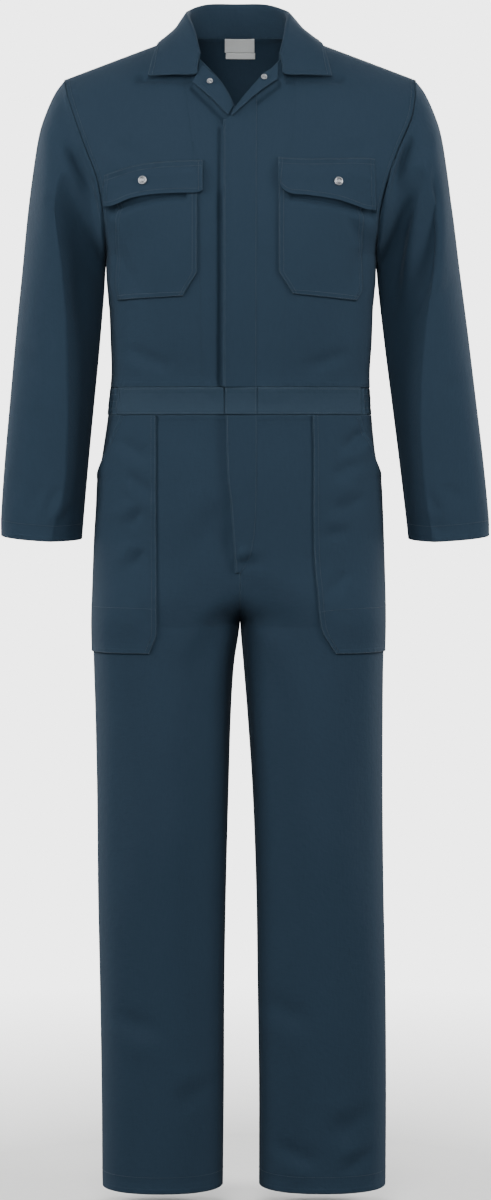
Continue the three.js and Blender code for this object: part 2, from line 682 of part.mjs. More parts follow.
SIDES.forEach((side) => {
  [FRONT, BACK].forEach((face) => {
    const grid = LEG_ROWS_Z.map((z) => {
      const level = section(side, z);
      const end = legAngle(side, z, Math.max(SEAM / 2, level.centre - level.half));
      const row = [];
      for (let j = 0; j <= LEG_COLUMNS; j += 1) {
        row.push(legPoint(side, face, z, (end * j) / LEG_COLUMNS));
      }
      return row;
    });
    const shape = gridNormals(grid, false, legCore(side));
    shape.normals.forEach((row, i) => {
      row[0].setY(0).normalize();
      if (LEG_ROWS_Z[i] <= CROTCH_Z) row[LEG_COLUMNS].setY(0).normalize();
    });
    const rim = (i) => (i <= 1 ? HEM_CLOTH : CLOTH);
    add(`leg_${face.depth}_${side.name}`, wall(grid, { shape, lift: (i) => -rim(i), thick: rim }));
  });
});

// Waistband: two fronts, the lapped end at the centre and the gathered back

function bandGrid(spots) {
  return [WAIST_BOTTOM_Z, WAIST_TOP_Z].map((z) => spots.map(({ side, face, angle }) => {
    const level = section(side, z);
    const x = level.half * power(Math.cos(angle), 2 / level.square);
    const y = face.sign * level[face.depth] * Math.sin(angle) ** (2 / level.square);
    return new THREE.Vector3(side.sign * x, y, z);
  }));
}

const joinAngle = Math.acos(BAND_JOIN ** (TORSO[TORSO.length - 1].square / 2));

SIDES.forEach((side) => {
  const inner = side === LEFT ? LAP_X.left + SEAM : -LAP_X.right + SEAM;
  const start = legAngle(side, WAIST_BOTTOM_Z, inner);
  const spots = [];
  for (let j = 0; j <= BAND_COLUMNS; j += 1) {
    spots.push({ side, face: FRONT, angle: mix(start, joinAngle, j / BAND_COLUMNS) });
  }
  add(`waistband_${side.name}`, wall(bandGrid(spots), { thick: CLOTH + BAND_PROUD }), cloth(NAVY_BAND));
});

function centreGrid(levels, columns, ends) {
  return levels.map((z) => {
    const { x0, x1 } = ends(z);
    const row = [];
    for (let j = 0; j <= columns; j += 1) {
      row.push(onFace(FRONT, mix(x0, x1, j / columns), z));
    }
    return row;
  });
}

const lapEnds = () => ({ x0: LAP_X.right, x1: LAP_X.left });
add('waistband_lap', wall(centreGrid([WAIST_BOTTOM_Z, WAIST_TOP_Z], FLY_COLUMNS, lapEnds), {
  thick: CLOTH + BAND_PROUD + LAP_PROUD,
}), cloth(NAVY_BAND));

function gatheredBand() {
  const steps = (GATHERS * GATHER_SAMPLES) / 2;
  const reach = Math.PI / 2 + joinAngle - 2 * SEAM / section(LEFT, WAIST_BOTTOM_Z).half;
  const spots = [];
  for (let k = -steps; k <= steps; k += 1) {
    const turn = (reach * Math.abs(k)) / steps;
    const side = k < 0 ? RIGHT : LEFT;
    const face = turn <= Math.PI / 2 ? BACK : FRONT;
    spots.push({ side, face, angle: Math.abs(Math.PI / 2 - turn) });
  }
  const wave = (i, j) => GATHER_DEEP * Math.sin((2 * Math.PI * j) / GATHER_SAMPLES);
  return wall(bandGrid(spots), { lift: (i, j) => -CLOTH - GATHER_DEEP / 2 + wave(i, j) });
}
add('waistband_back', gatheredBand(), cloth(NAVY_BAND));

// Placket and fly

function placketGrid() {
  const rows = [];
  for (let i = 0; i <= PLACKET_ROWS; i += 1) {
    rows.push(PLACKET_TOP.map(({ x, z }) => (
      onFace(FRONT, x, mix(TORSO_ROWS_Z[0], z, i / PLACKET_ROWS)))));
  }
  return rows;
}
add('placket_upper', wall(placketGrid(), { lift: ON_PANEL }));

const flyEnds = (z) => ({ x0: read(FLY, 'z', z, 'x0'), x1: read(FLY, 'z', z, 'x1') });
const flyLevels = FLY.map((row) => row.z).reverse();
add('fly_lower', wall(centreGrid(flyLevels, FLY_COLUMNS, flyEnds), { lift: ON_PANEL }));

// Pieces that lie on the fronts and legs

function lapelGrid(side) {
  return LAPEL[side.name].map((row) => {
    const points = [];
    for (let j = 0; j <= LAPEL_COLUMNS; j += 1) {
      const t = j / LAPEL_COLUMNS;
      const x = side.sign * mix(row.foldX, row.outX, t);
      points.push(onFace(FRONT, x, mix(row.foldZ, row.outZ, t)));
    }
    return points;
  });
}

function chestPocketGrid(side) {
  return CHEST_POCKET[side.name].map((row) => {
    const points = [];
    for (let j = 0; j <= POCKET_COLUMNS; j += 1) {
      const t = j / POCKET_COLUMNS;
      points.push(onBody(side, FRONT, mix(row.inner, row.outer, t), mix(row.zInner, row.zOuter, t)));
    }
    return points;
  });
}

function flapGrid(side) {
  return FLAP_ROWS.map(({ share }) => FLAP[side.name].map(({ x, top, bottom }) => (
    onBody(side, FRONT, x, mix(bottom, top, share)))));
}

function hipPocketGrid(side) {
  return HIP_POCKET[side.name].map(({ z, inner, mouth }) => {
    const level = section(side, z);
    const start = legAngle(side, z, level.centre + level.half * mouth);
    const end = legAngle(side, z, inner);
    const points = [];
    for (let j = 0; j <= HIP_POCKET_COLUMNS; j += 1) {
      points.push(legPoint(side, FRONT, z, mix(start, end, j / HIP_POCKET_COLUMNS)));
    }
    return points;
  });
}

function stud({ on, side: name, x, z, radius, seat }) {
  const side = SIDES.find((each) => each.name === name);
  const at = onBody(side, FRONT, x, z);
  const along = onBody(side, FRONT, x + radius, z).sub(onBody(side, FRONT, x - radius, z));
  const up = onBody(side, FRONT, x, z + radius).sub(onBody(side, FRONT, x, z - radius));
  const normal = along.cross(up).normalize();
  if (normal.y > 0) normal.negate();
  const outline = STUD_CAP.map(({ share, height }) => new THREE.Vector2(share * radius, height));
  const cap = new THREE.LatheGeometry(outline, STUD_SIDES);
  const mesh = add(`stud_${on}_${name}`, cap, new THREE.MeshStandardMaterial({
    color: STUD_SILVER, roughness: 0.35, metalness: 0.9,
  }));
  mesh.position.copy(at.addScaledVector(normal, seat));
  mesh.quaternion.setFromUnitVectors(new THREE.Vector3(0, 1, 0), normal);
}

SIDES.forEach((side) => {
  const [low, high] = LAPEL_LIFT[side.name];
  add(`lapel_${side.name}`, wall(lapelGrid(side), {
    lift: (i, j) => mix(low, high, Math.sin((Math.PI / 2) * (j / LAPEL_COLUMNS))),
  }));
  const toSide = (j) => ease(POCKET_LIFT_FROM, POCKET_LIFT_TO, j / POCKET_COLUMNS);
  const pocketLift = (i, j) => ON_PANEL + POCKET_SIDE_LIFT * toSide(j);
  add(`chest_pocket_${side.name}`, wall(chestPocketGrid(side), { lift: pocketLift }));
  const flapLift = (i, j) => {
    const { near, free } = FLAP_ROWS[i];
    return near + free * (FLAP[side.name][j].lift - FLAP_ROWS[0].near);
  };
  add(`pocket_flap_${side.name}`, wall(flapGrid(side), { lift: flapLift }));
  const gape = (i, j) => {
    const { z } = HIP_POCKET[side.name][i];
    const nearMouth = 1 - j / HIP_POCKET_COLUMNS;
    return ON_PANEL + MOUTH_GAPE * ease(MOUTH_FROM_Z, MOUTH_FULL_Z, z) * nearMouth ** 2;
  };
  add(`hip_pocket_${side.name}`, wall(hipPocketGrid(side), { core: legCore(side), lift: gape }));
});
STUDS.forEach(stud);

// Collar: stand, rounded fold and fall in one wall round the neck

function collarStations() {
  const top = back[lastRow];
  const middle = NECK_TO_ARM_COLUMNS + BACK_NECK_COLUMNS;
  const stations = [];
  SIDES.forEach((side) => {
    const neck = NECK_EDGE[side.name];
    const half = [];
    for (let j = 0; j <= BACK_NECK_COLUMNS; j += 1) {
      const s = (COLLAR_SHOULDER * j) / BACK_NECK_COLUMNS;
      half.push({ side, s, seam: top[middle - side.sign * j].clone() });
    }
    const onFront = neck.filter(({ x }) => x > COLLAR_END_X).reverse();
    onFront.forEach(({ x, z }, j) => {
      const s = mix(COLLAR_SHOULDER, 1, (j + 1) / onFront.length);
      half.push({ side, s, seam: onBody(side, FRONT, x, z) });
    });
    if (side === RIGHT) stations.push(...half.reverse());
    else stations.push(...half.slice(1));
  });
  return stations;
}

function collarSection({ side, seam, s }) {
  const at = (name) => read(COLLAR, 's', s, name);
  const spot = (name) => {
    const lean = -COLLAR_LEAN * Math.max(0, at(`${name}Z`) - NECK_POINT_Z);
    return new THREE.Vector3(side.sign * at(`${name}X`) + lean, at(`${name}Y`), at(`${name}Z`));
  };
  const fold = spot('fold');
  const mid = spot('mid');
  const edge = spot('edge');
  const up = fold.clone().sub(seam).normalize();
  const out = mid.clone().sub(fold);
  out.addScaledVector(up, -out.dot(up)).normalize();
  const start = seam.clone().addScaledVector(up, COLLAR_SEAT);
  const round = (angle) => fold.clone()
    .addScaledVector(up, COLLAR_FOLD_RADIUS * (Math.sin(angle) - 1))
    .addScaledVector(out, -COLLAR_FOLD_RADIUS * Math.cos(angle));
  const turns = [];
  for (let k = 0; k <= COLLAR_FOLD_STEPS; k += 1) turns.push(round((Math.PI * k) / COLLAR_FOLD_STEPS));
  return [
    start,
    start.clone().lerp(turns[0], 0.5),
    ...turns,
    turns[COLLAR_FOLD_STEPS].clone().lerp(mid, 0.5),
    mid,
    mid.clone().lerp(edge, 0.5),
    edge,
  ];
}

const collarGrid = collarStations().map(collarSection);
const neckAxis = (p) => new THREE.Vector3(0, 0, p.z - 200);
add('collar', wall(collarGrid, { lift: -COLLAR_CLOTH / 2, thick: COLLAR_CLOTH, core: neckAxis }));

// Label on the inside of the back

LABELS.forEach(({ name, x0, x1, z0, z1 }) => {
  const grid = [z0, (z0 + z1) / 2, z1].map((z) => [x0, 0, x1].map((x) => onFace(BACK, x, z)));
  add(name, wall(grid, { lift: -CLOTH - ON_PANEL - LABEL_CLOTH, thick: LABEL_CLOTH }),
    cloth(LABEL_WHITE));
});

export default suit;
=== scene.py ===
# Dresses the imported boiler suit: twill shells on the solids' forms, sewing, studs, floor and light.
# Forms are worked out in millimetres and turned into metres as each mesh is made.
import math
from types import SimpleNamespace

import bpy
import numpy as np
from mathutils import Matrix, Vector


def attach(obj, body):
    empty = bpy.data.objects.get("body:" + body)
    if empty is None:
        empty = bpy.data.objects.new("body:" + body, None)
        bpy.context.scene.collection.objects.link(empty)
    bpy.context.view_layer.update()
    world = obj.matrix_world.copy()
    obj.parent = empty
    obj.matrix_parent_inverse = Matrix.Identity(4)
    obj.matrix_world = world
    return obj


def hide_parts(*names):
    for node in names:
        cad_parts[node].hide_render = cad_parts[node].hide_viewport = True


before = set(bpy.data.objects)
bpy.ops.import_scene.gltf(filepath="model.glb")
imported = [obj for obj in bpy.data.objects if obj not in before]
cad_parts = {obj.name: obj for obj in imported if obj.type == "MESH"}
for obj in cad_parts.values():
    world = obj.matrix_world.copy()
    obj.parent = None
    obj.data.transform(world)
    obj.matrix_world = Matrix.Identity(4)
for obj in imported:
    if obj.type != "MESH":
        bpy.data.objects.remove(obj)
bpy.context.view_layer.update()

# Cloth and seams
CLOTH = 1.6
HEM_CLOTH = 2.6
COLLAR_CLOTH = 2.2
SEAM = 0.3
SEAM_LAP = 0.12
ON_PANEL = 0.8

# Levels down the garment
ARMPIT_Z = -277
WAIST_TOP_Z = -454
WAIST_BOTTOM_Z = -491
HIP_Z = -680
CROTCH_Z = -775
HEM_Z = -1546
HEM_DEEP = 25
TORSO_FOOT_Z = -454.1
LEG_TOP_Z = -490.9

# Shoulder line
NECK_HALF = 78
NECK_POINT_Z = 22.3
SHOULDER_SLOPE = 0.379
NECK_ROUND = 24
ARMHOLE_ROUND = 0.45
SWAY_FROM_Z = -200
BACK_NECK_Z = 28

FRONT = SimpleNamespace(name="front", sign=-1, rise=1.9, neck_bump=0, reach=0.75)
BACK = SimpleNamespace(name="back", sign=1, rise=2.6, neck_bump=26, reach=0.78)
RIGHT = SimpleNamespace(name="right", sign=-1, inner=-18.6, sway=0)
LEFT = SimpleNamespace(name="left", sign=1, inner=18.9, sway=0.031)
SIDES = (RIGHT, LEFT)


def table(names, rows):
    return {name: np.array(column, float) for name, column in zip(names.split(), zip(*rows))}


# Torso at each height: half width on each side, depth of front and back, squareness
TORSO = table("z right left front back square", [
    (60, 249, 251, 130, 113, 2.9),
    (22, 245, 247, 130, 113, 2.9),
    (-38, 237, 237, 130, 113, 2.9),
    (-64, 231, 236, 130, 114, 2.9),
    (-94, 221, 230, 130, 115, 2.9),
    (-135, 206, 213, 130, 116, 2.9),
    (-175, 191, 199, 130, 116, 2.9),
    (-215, 184, 189, 130, 116, 2.9),
    (-250, 181, 185, 130, 115, 2.9),
    (-277, 181, 183, 130, 113, 2.9),
    (-311, 180, 182, 129, 108, 2.8),
    (-352, 177.5, 180, 127, 101, 2.75),
    (-393, 176, 178.5, 124, 95, 2.7),
    (-434, 175, 176, 120, 91, 2.6),
    (-475, 178.5, 177.5, 118, 90, 2.5),
    (-495, 180, 179, 118, 92, 2.5),
])

# Legs at each height: outer edge and inner edge of each leg, depth, squareness
LEGS = table("z right left right_inner left_inner front back square", [
    (-475, 178.5, 177.5, 0, 0, 118, 90, 2.5),
    (-495, 180, 179, 0, 0, 118, 92, 2.5),
    (-536, 186, 183, 0, 0, 118, 101, 2.45),
    (-577, 192, 190, 0, 0, 118, 110, 2.4),
    (-618, 194, 192.5, 0, 0, 116, 116, 2.45),
    (-659, 196.5, 194, 0, 0, 113, 117, 2.55),
    (-727, 199, 196, 0, 0, 108, 113, 2.8),
    (-775, 200.5, 196.5, 0.15, 0.15, 104, 108, 2.8),
    (-830, 199.5, 195.5, 8, 4.5, 101, 104, 2.5),
    (-898, 197.5, 195, 12.3, 10, 97, 99, 2.3),
    (-1003, 195.5, 195, 15.5, 17, 92, 94, 2.2),
    (-1137, 194.5, 196.5, 19, 22, 86, 88, 2.2),
    (-1273, 192, 199.5, 21.3, 24, 81, 82, 2.2),
    (-1410, 190, 200.5, 22, 26, 77, 78, 2.2),
    (-1546, 189, 200, 23.5, 26, 75, 75, 2.2),
])

# Neck edge of each front from its inner edge out to the neck point
NECK_EDGE = {
    "right": table("x z", [
        (-18.6, -112), (-4, -98), (6.7, -82), (16, -62), (28, -43.5), (42, -27.5),
        (54, -14.5), (66, 0.5), (74, 13), (77, 18.8), (78, 22.3),
    ]),
    "left": table("x z", [
        (18.9, -51.5), (30, -36.5), (42, -28), (53, -16), (65, -1), (74, 13), (77, 18.8),
        (78, 22.3),
    ]),
}

# Sleeve sections: outer and inner end, depths, where each front stands out most, how crisp
SLEEVE = table("t out_x out_z in_x in_z front back right_ridge left_ridge crisp", [
    (0, 237, -38, 181, -277, 88, 86, 0.5, 0.5, 0),
    (0.07, 250, -55, 182, -286, 88, 86, 0.52, 0.54, 0),
    (0.14, 262, -80, 183, -295, 86, 85, 0.6, 0.63, 0.3),
    (0.21, 272, -110, 183.5, -307, 84, 83, 0.68, 0.73, 0.7),
    (0.3, 280.5, -160, 184.8, -328, 81, 80, 0.65, 0.77, 1),
    (0.4, 288.5, -222, 187.8, -364, 77, 77, 0.51, 0.71, 1),
    (0.5, 295.5, -294, 192, -412, 72, 73, 0.4, 0.53, 1),
    (0.62, 304, -378, 198, -474, 65, 67, 0.32, 0.36, 1),
    (0.74, 312, -466, 204, -537, 58, 60, 0.26, 0.27, 1),
    (0.86, 320, -556, 209.5, -598, 51, 53, 0.24, 0.24, 0.9),
    (0.96, 325, -630, 213.5, -645, 46, 48, 0.33, 0.27, 0.7),
    (1, 325, -654, 214.5, -659, 45, 47, 0.37, 0.3, 0.6),
])
SLEEVE_SQUARE = 2.15
SLEEVE_FORWARD = 14
RIDGE_BACK = 0.5
RIDGE_POWER = 0.75
CUFF_DIP = 5
CUFF_HEM_T = 0.96
ARMHOLE_SHARE = 0.32
FORWARD_FROM = 0.3
DIP_FROM = 0.9


def mix(a, b, t):
    return a + (b - a) * t


def power(base, exponent):
    return np.sign(base) * np.abs(base) ** exponent


def ease(start, end, v):
    t = np.clip((v - start) / (end - start), 0, 1)
    return t * t * (3 - 2 * t)


def through(knots, values, at):
    """A smooth curve through values at the knots, along their first axis."""
    last = len(knots) - 1
    index = np.arange(last + 1)
    low, high = np.maximum(index - 1, 0), np.minimum(index + 1, last)
    wide = (-1,) + (1,) * (values.ndim - 1)
    slope = (values[high] - values[low]) / (knots[high] - knots[low]).reshape(wide)
    at = np.clip(at, knots[0], knots[-1])
    i = np.clip(np.searchsorted(knots, at, side="right") - 1, 0, last - 1)
    more = at.shape + (1,) * (values.ndim - 1)
    span = (knots[i + 1] - knots[i]).reshape(more)
    t = (at - knots[i]).reshape(more) / span
    m0, m1 = slope[i] * span, slope[i + 1] * span
    p0, p1 = values[i], values[i + 1]
    return p0 + t * (m0 + t * (3 * (p1 - p0) - 2 * m0 - m1 + t * (2 * (p0 - p1) + m0 + m1)))


def read(rows, key, at, name):
    knots, values = rows[key], rows[name]
    if knots[0] > knots[-1]:
        knots, values = knots[::-1], values[::-1]
    return through(knots, values, np.asarray(at, float))


def points(x, y, z):
    return np.stack(np.broadcast_arrays(x, y, z), axis=-1).astype(float)


def unit(v):
    return v / np.maximum(np.linalg.norm(v, axis=-1, keepdims=True), 1e-9)


# The body form, as in the part's source

def shoulder_line(face, x):
    far = np.hypot(x, NECK_ROUND) - (math.hypot(NECK_HALF, NECK_ROUND) - NECK_HALF)
    inside = np.maximum(0, 1 - (x / NECK_HALF) ** 2) ** 2
    return NECK_POINT_Z - SHOULDER_SLOPE * (far - NECK_HALF) + face.neck_bump * inside


def section(side, z):
    """One level of the body on one side; x is measured outward from the middle."""
    z = np.asarray(z, float)
    high = z >= WAIST_BOTTOM_Z

    def at(name):
        return np.where(high, read(TORSO, "z", z, name), read(LEGS, "z", z, name))

    outer = at(side.name)
    split = 1 - ease(CROTCH_Z, HIP_Z, z)
    edge = np.maximum(read(LEGS, "z", z, side.name + "_inner"), SEAM / 2)
    inner = np.where(high, -outer, mix(-outer, edge, split))
    return SimpleNamespace(
        centre=(outer + inner) / 2, half=(outer - inner) / 2,
        front=at("front"), back=at("back"), square=at("square"),
    )


def surface_y(side, face, x, z):
    level = section(side, z)
    c = np.minimum(1, np.abs(x - level.centre) / level.half)
    up = np.clip((z - ARMPIT_Z) / (shoulder_line(face, x) - ARMPIT_Z), 0, 1)
    opened = np.clip(up / ARMHOLE_ROUND, 0, 1)
    reach = face.reach * np.sqrt(1 - (1 - opened) ** 2)
    closing = 1 - reach ** level.square
    across = np.maximum(0, 1 - closing * c ** level.square) ** (1 / level.square)
    over = np.maximum(0, 1 - up ** face.rise) ** (1 / face.rise)
    return face.sign * getattr(level, face.name) * across * over


def on_body(side, face, x, z):
    return points(side.sign * x, surface_y(side, face, x, z), z)


def on_face(face, x, z):
    """A point of the body for an x that runs across both sides."""
    x = np.asarray(x, float)
    right, left = (surface_y(side, face, np.abs(x), z) for side in SIDES)
    return points(x, np.where(x < 0, right, left), z)


def shoulder_column(side, face, w):
    """A column from the neck point (w 0) to the armhole (w 1): its share of the width, its top."""
    square = TORSO["square"][0]
    neck_c = NECK_HALF / section(side, NECK_POINT_Z).half
    angle = mix(math.asin(neck_c ** (square / 2)), math.pi / 2, w)
    c = np.sin(angle) ** (2 / square)
    z = np.full_like(c, NECK_POINT_Z)
    for _ in range(12):
        z = shoulder_line(face, c * section(side, z).half)
    return c, c * section(side, z).half, z


NECK_SHARE = 0.42
ARM_SHARE = 0.42


def column_height(v, top_z):
    """Up a column: straight to the armpit, then closer together at both ends."""
    low = mix(TORSO_FOOT_Z, ARMPIT_Z, np.minimum(1, v / ARM_SHARE))
    turn = np.clip((v - ARM_SHARE) / (1 - ARM_SHARE), 0, 1)
    return np.where(v < ARM_SHARE, low, mix(ARMPIT_Z, top_z, (1 - np.cos(np.pi * turn)) / 2))


def front_form(side, u, v):
    neck = NECK_EDGE[side.name]
    x_neck = mix(side.inner, NECK_HALF, np.minimum(1, u / NECK_SHARE))
    z_neck = read(neck, "x", x_neck, "z")
    _, x_arm, z_arm = shoulder_column(side, FRONT, np.clip((u - NECK_SHARE) / (1 - NECK_SHARE), 0, 1))
    top_x = np.where(u < NECK_SHARE, x_neck, x_arm)
    top_z = np.where(u < NECK_SHARE, z_neck, z_arm)
    z = column_height(v, top_z)
    w = (top_x - side.inner) / (section(side, top_z).half - side.inner)
    x = mix(side.inner, section(side, z).half, w)
    p = on_body(side, FRONT, x, z)
    p[..., 1] = np.minimum(p[..., 1], 0) + SEAM_LAP
    return p


def back_form(u, v):
    """u runs from -1 at the right armhole to 1 at the left one."""
    across = np.abs(u)

    def half(side):
        x_neck = NECK_HALF * np.sin(np.pi / 2 * np.minimum(1, across / NECK_SHARE))
        z_neck = mix(BACK_NECK_Z, NECK_POINT_Z, (x_neck / NECK_HALF) ** 2)
        c_neck = x_neck / section(side, z_neck).half
        w = np.clip((across - NECK_SHARE) / (1 - NECK_SHARE), 0, 1)
        c_arm, _, z_arm = shoulder_column(side, BACK, w)
        c = np.where(across < NECK_SHARE, c_neck, c_arm)
        z = column_height(v, np.where(across < NECK_SHARE, z_neck, z_arm))
        p = on_body(side, BACK, c * section(side, z).half, z)
        p[..., 1] = np.maximum(p[..., 1], 0) - SEAM_LAP
        return p

    return np.where((u < 0)[..., None], half(RIGHT), half(LEFT))


def armhole_point(side, turn):
    front = turn < 0.5
    share = (1 - np.cos(2 * np.pi * turn)) / 2

    def edge(face):
        top = shoulder_column(side, face, np.ones(1))[2][0]
        z = mix(ARMPIT_Z, top, share)
        half = section(side, z).half
        return points(side.sign * half, surface_y(side, face, half, z), z)

    return np.where(front[..., None], edge(FRONT), edge(BACK))


def sleeve_ring(side, t, turn):
    """turn runs 0 at the armpit, a quarter at the front, a half on top, then the back."""
    angle = turn * 2 * np.pi
    front = np.sin(angle) >= 0
    inside = np.cos(angle) > 0

    def at(name):
        return read(SLEEVE, "t", t, name)

    ridge = np.where(front, at(side.name + "_ridge"), RIDGE_BACK)
    share = ridge - np.cos(angle) * np.where(inside, ridge, 1 - ridge)
    rounded = np.abs(np.sin(angle)) ** (2 / SLEEVE_SQUARE)
    crisp = np.where(front & inside, at("crisp"), 0)
    bulge = mix(rounded, np.maximum(0, share / ridge) ** RIDGE_POWER, crisp)
    z = mix(at("in_z"), at("out_z"), share)
    away = side.sway * np.maximum(0, SWAY_FROM_Z - z)
    forward = -SLEEVE_FORWARD * ease(FORWARD_FROM, 1, t)
    dip = np.where(front, CUFF_DIP * ease(DIP_FROM, 1, t) * bulge, 0)
    depth = np.where(front, -at("front"), at("back"))
    return points(
        side.sign * (mix(at("in_x"), at("out_x"), share) + away), forward + depth * bulge, z - dip)


def sleeve_form(side, u, v):
    start = armhole_point(side, u) - sleeve_ring(side, np.zeros_like(u), u)
    return sleeve_ring(side, v, u) + start * (1 - ease(0, ARMHOLE_SHARE, v))[..., None]


def leg_angle(side, z, x):
    level = section(side, z)
    return np.arccos(np.clip(power((x - level.centre) / level.half, level.square / 2), -1, 1))


def leg_point(side, face, z, angle):
    level = section(side, z)
    x = level.centre + level.half * power(np.cos(angle), 2 / level.square)
    out = getattr(level, face.name) * np.maximum(0, np.sin(angle)) ** (2 / level.square)
    return points(side.sign * x, face.sign * (out - SEAM_LAP), z)


def leg_form(side, face, u, v):
    z = mix(HEM_Z, LEG_TOP_Z, v)
    level = section(side, z)
    end = leg_angle(side, z, np.maximum(-SEAM_LAP, level.centre - level.half))
    return leg_point(side, face, z, end * u)


# Creases: start, middle and end in x and z as seen from the front or back,
# half width, height (below zero in a trough), and how much the cloth beside it answers
CREASE_NAMES = "x0 z0 x1 z1 x2 z2 width height lean"
CREASES = {
    "front": table(CREASE_NAMES, [
        (-172, -120, -150, -142, -112, -150, 11, -1.6, 0.5),
        (174, -118, 152, -140, 118, -148, 11, -1.6, -0.5),
        (-168, -262, -150, -300, -140, -345, 13, -2.0, 0.6),
        (170, -250, 156, -296, 150, -350, 13, -2.2, -0.6),
        (135, -214, 152, -246, 160, -268, 10, -1.8, -0.6),
        (-158, -395, -120, -418, -70, -428, 10, -1.4, 0.4),
        (150, -400, 112, -421, 72, -430, 10, -1.3, -0.4),
        (-46, -446, -38, -459, -33, -476, 4.5, 1.1, 0),
        (-33, -445, -27, -457, -25, -471, 4, 0.9, 0),
        (28, -449, 31, -462, 35, -481, 4.5, 1.1, 0),
        (41, -452, 44, -465, 45, -478, 4, 0.9, 0),
        (54, -450, 55, -461, 58, -474, 4, 0.7, 0),
        (-160, -520, -138, -540, -112, -552, 10, -1.8, 0.6),
        (-150, -560, -128, -588, -104, -598, 9, -1.4, 0.5),
        (-128, -612, -140, -630, -148, -646, 9, -1.7, 0.7),
        (-126, -668, -136, -684, -144, -706, 9, -1.8, 0.7),
        (-130, -735, -126, -760, -124, -790, 8, -1.0, 0.5),
        (163, -506, 150, -526, 128, -542, 9, -2.4, -0.7),
        (158, -546, 138, -566, 112, -574, 9, -1.6, -0.5),
        (170, -592, 146, -612, 112, -618, 10, -1.4, 0.5),
        (150, -640, 126, -650, 104, -650, 9, -1.2, 0.5),
        (150, -700, 130, -716, 112, -742, 9, -1.2, -0.5),
        (-9, -688, 10, -688, 28, -680, 7, -2.2, -0.7),
        (-14, -600, -40, -640, -62, -700, 16, -1.5, 0.5),
        (6, -700, 34, -742, 62, -800, 16, -1.4, -0.5),
        (-6, -742, -34, -790, -58, -856, 15, -2.2, 0.6),
        (10, -770, 30, -830, 44, -905, 14, -1.8, -0.6),
        (-90, -810, -100, -1000, -98, -1220, 34, 1.8, 0),
        (96, -800, 108, -1010, 112, -1240, 34, 1.8, 0),
        (-44, -960, -52, -1120, -50, -1300, 22, -1.4, 0.4),
        (56, -980, 66, -1130, 62, -1290, 22, -1.3, -0.4),
        (-168, -900, -160, -1050, -162, -1180, 18, -1.3, -0.4),
        (170, -930, 166, -1060, 170, -1190, 18, -1.2, 0.4),
        (-176, -1290, -140, -1316, -104, -1310, 15, -1.4, 0.5),
        (34, -1270, 66, -1300, 104, -1306, 15, -1.3, 0.5),
        (-30, -1380, -62, -1412, -96, -1420, 14, -1.2, 0.5),
        (185, -1420, 150, -1452, 112, -1462, 14, -1.5, 0.5),
        (40, -1470, 78, -1494, 118, -1500, 11, -1.4, 0.5),
        (186, -1478, 160, -1505, 130, -1513, 9, -1.6, 0.6),
    ]),
    "back": table(CREASE_NAMES, [
        (-176, -120, -140, -146, -90, -156, 14, -2.0, 0.5),
        (176, -124, 138, -152, 86, -160, 14, -2.0, -0.5),
        (-110, -60, -70, -92, -20, -100, 16, -1.4, 0.4),
        (104, -62, 66, -96, 16, -104, 16, -1.4, -0.4),
        (-172, -262, -150, -318, -136, -372, 15, -2.4, 0.6),
        (172, -258, 152, -312, 140, -366, 15, -2.4, -0.6),
        (-120, -330, -104, -390, -100, -446, 12, -2.2, 0.5),
        (-72, -350, -64, -400, -62, -448, 11, -2.0, -0.5),
        (-30, -340, -26, -396, -26, -448, 12, -2.3, 0.5),
        (16, -352, 18, -402, 16, -448, 11, -2.0, -0.4),
        (58, -336, 56, -394, 58, -448, 12, -2.3, 0.5),
        (102, -344, 100, -396, 98, -446, 11, -2.1, -0.5),
        (-128, -498, -122, -540, -124, -592, 12, -2.2, 0.5),
        (-84, -498, -78, -546, -82, -604, 12, -2.3, -0.5),
        (-40, -498, -38, -544, -44, -590, 11, -2.0, 0.5),
        (38, -498, 38, -548, 44, -606, 12, -2.2, -0.5),
        (82, -498, 78, -540, 80, -588, 11, -2.1, 0.5),
        (126, -498, 120, -546, 124, -600, 12, -2.3, -0.5),
        (-8, -720, -44, -790, -92, -842, 18, -3.2, 0.6),
        (8, -724, 46, -800, 96, -850, 18, -3.2, -0.6),
        (-14, -790, -60, -862, -120, -896, 15, -2.2, 0.5),
        (14, -800, 62, -872, 118, -912, 15, -2.2, -0.5),
        (-180, -1120, -130, -1152, -70, -1150, 17, -2.4, 0.6),
        (184, -1108, 134, -1146, 74, -1152, 17, -2.4, -0.6),
        (-174, -1188, -130, -1210, -84, -1206, 14, -1.7, 0.5),
        (180, -1182, 136, -1208, 86, -1204, 14, -1.8, -0.5),
        (-34, -1390, -70, -1420, -112, -1430, 15, -1.6, 0.5),
        (36, -1380, 76, -1414, 118, -1422, 15, -1.6, 0.5),
        (-170, -1470, -130, -1496, -90, -1500, 12, -1.5, 0.5),
        (176, -1462, 138, -1492, 96, -1498, 12, -1.5, 0.5),
    ]),
}

# Grooves in a panel and its pockets along what lies on them: placket, fly, flaps, collar, lapels
GROOVES = table(CREASE_NAMES, [
    (-25.5, -106, -26, -170, -26, -240, 2.8, -2.4, 0),
    (-26, -190, -26, -330, -26, -478, 2.8, -5, 0),
    (-23.5, -484, -22.5, -580, -14, -694, 2.8, -5, 0),
    (-66, -201, -118, -206, -178, -224, 5.5, -7, 0),
    (60, -202, 120, -211, 184, -226, 5.5, -7, 0),
    (-140, -42, -98, -41, -58, -41, 5, -6, 0),
    (140, -42, 98, -41, 58, -41, 5, -6, 0),
    (-66, -52, -42, -76, -14, -104, 3.5, -3.5, 0),
    (54, -49, 32, -66, 0, -93, 3.5, -3.5, 0),
])
GROOVE_FADE = (0.06, 0.94)

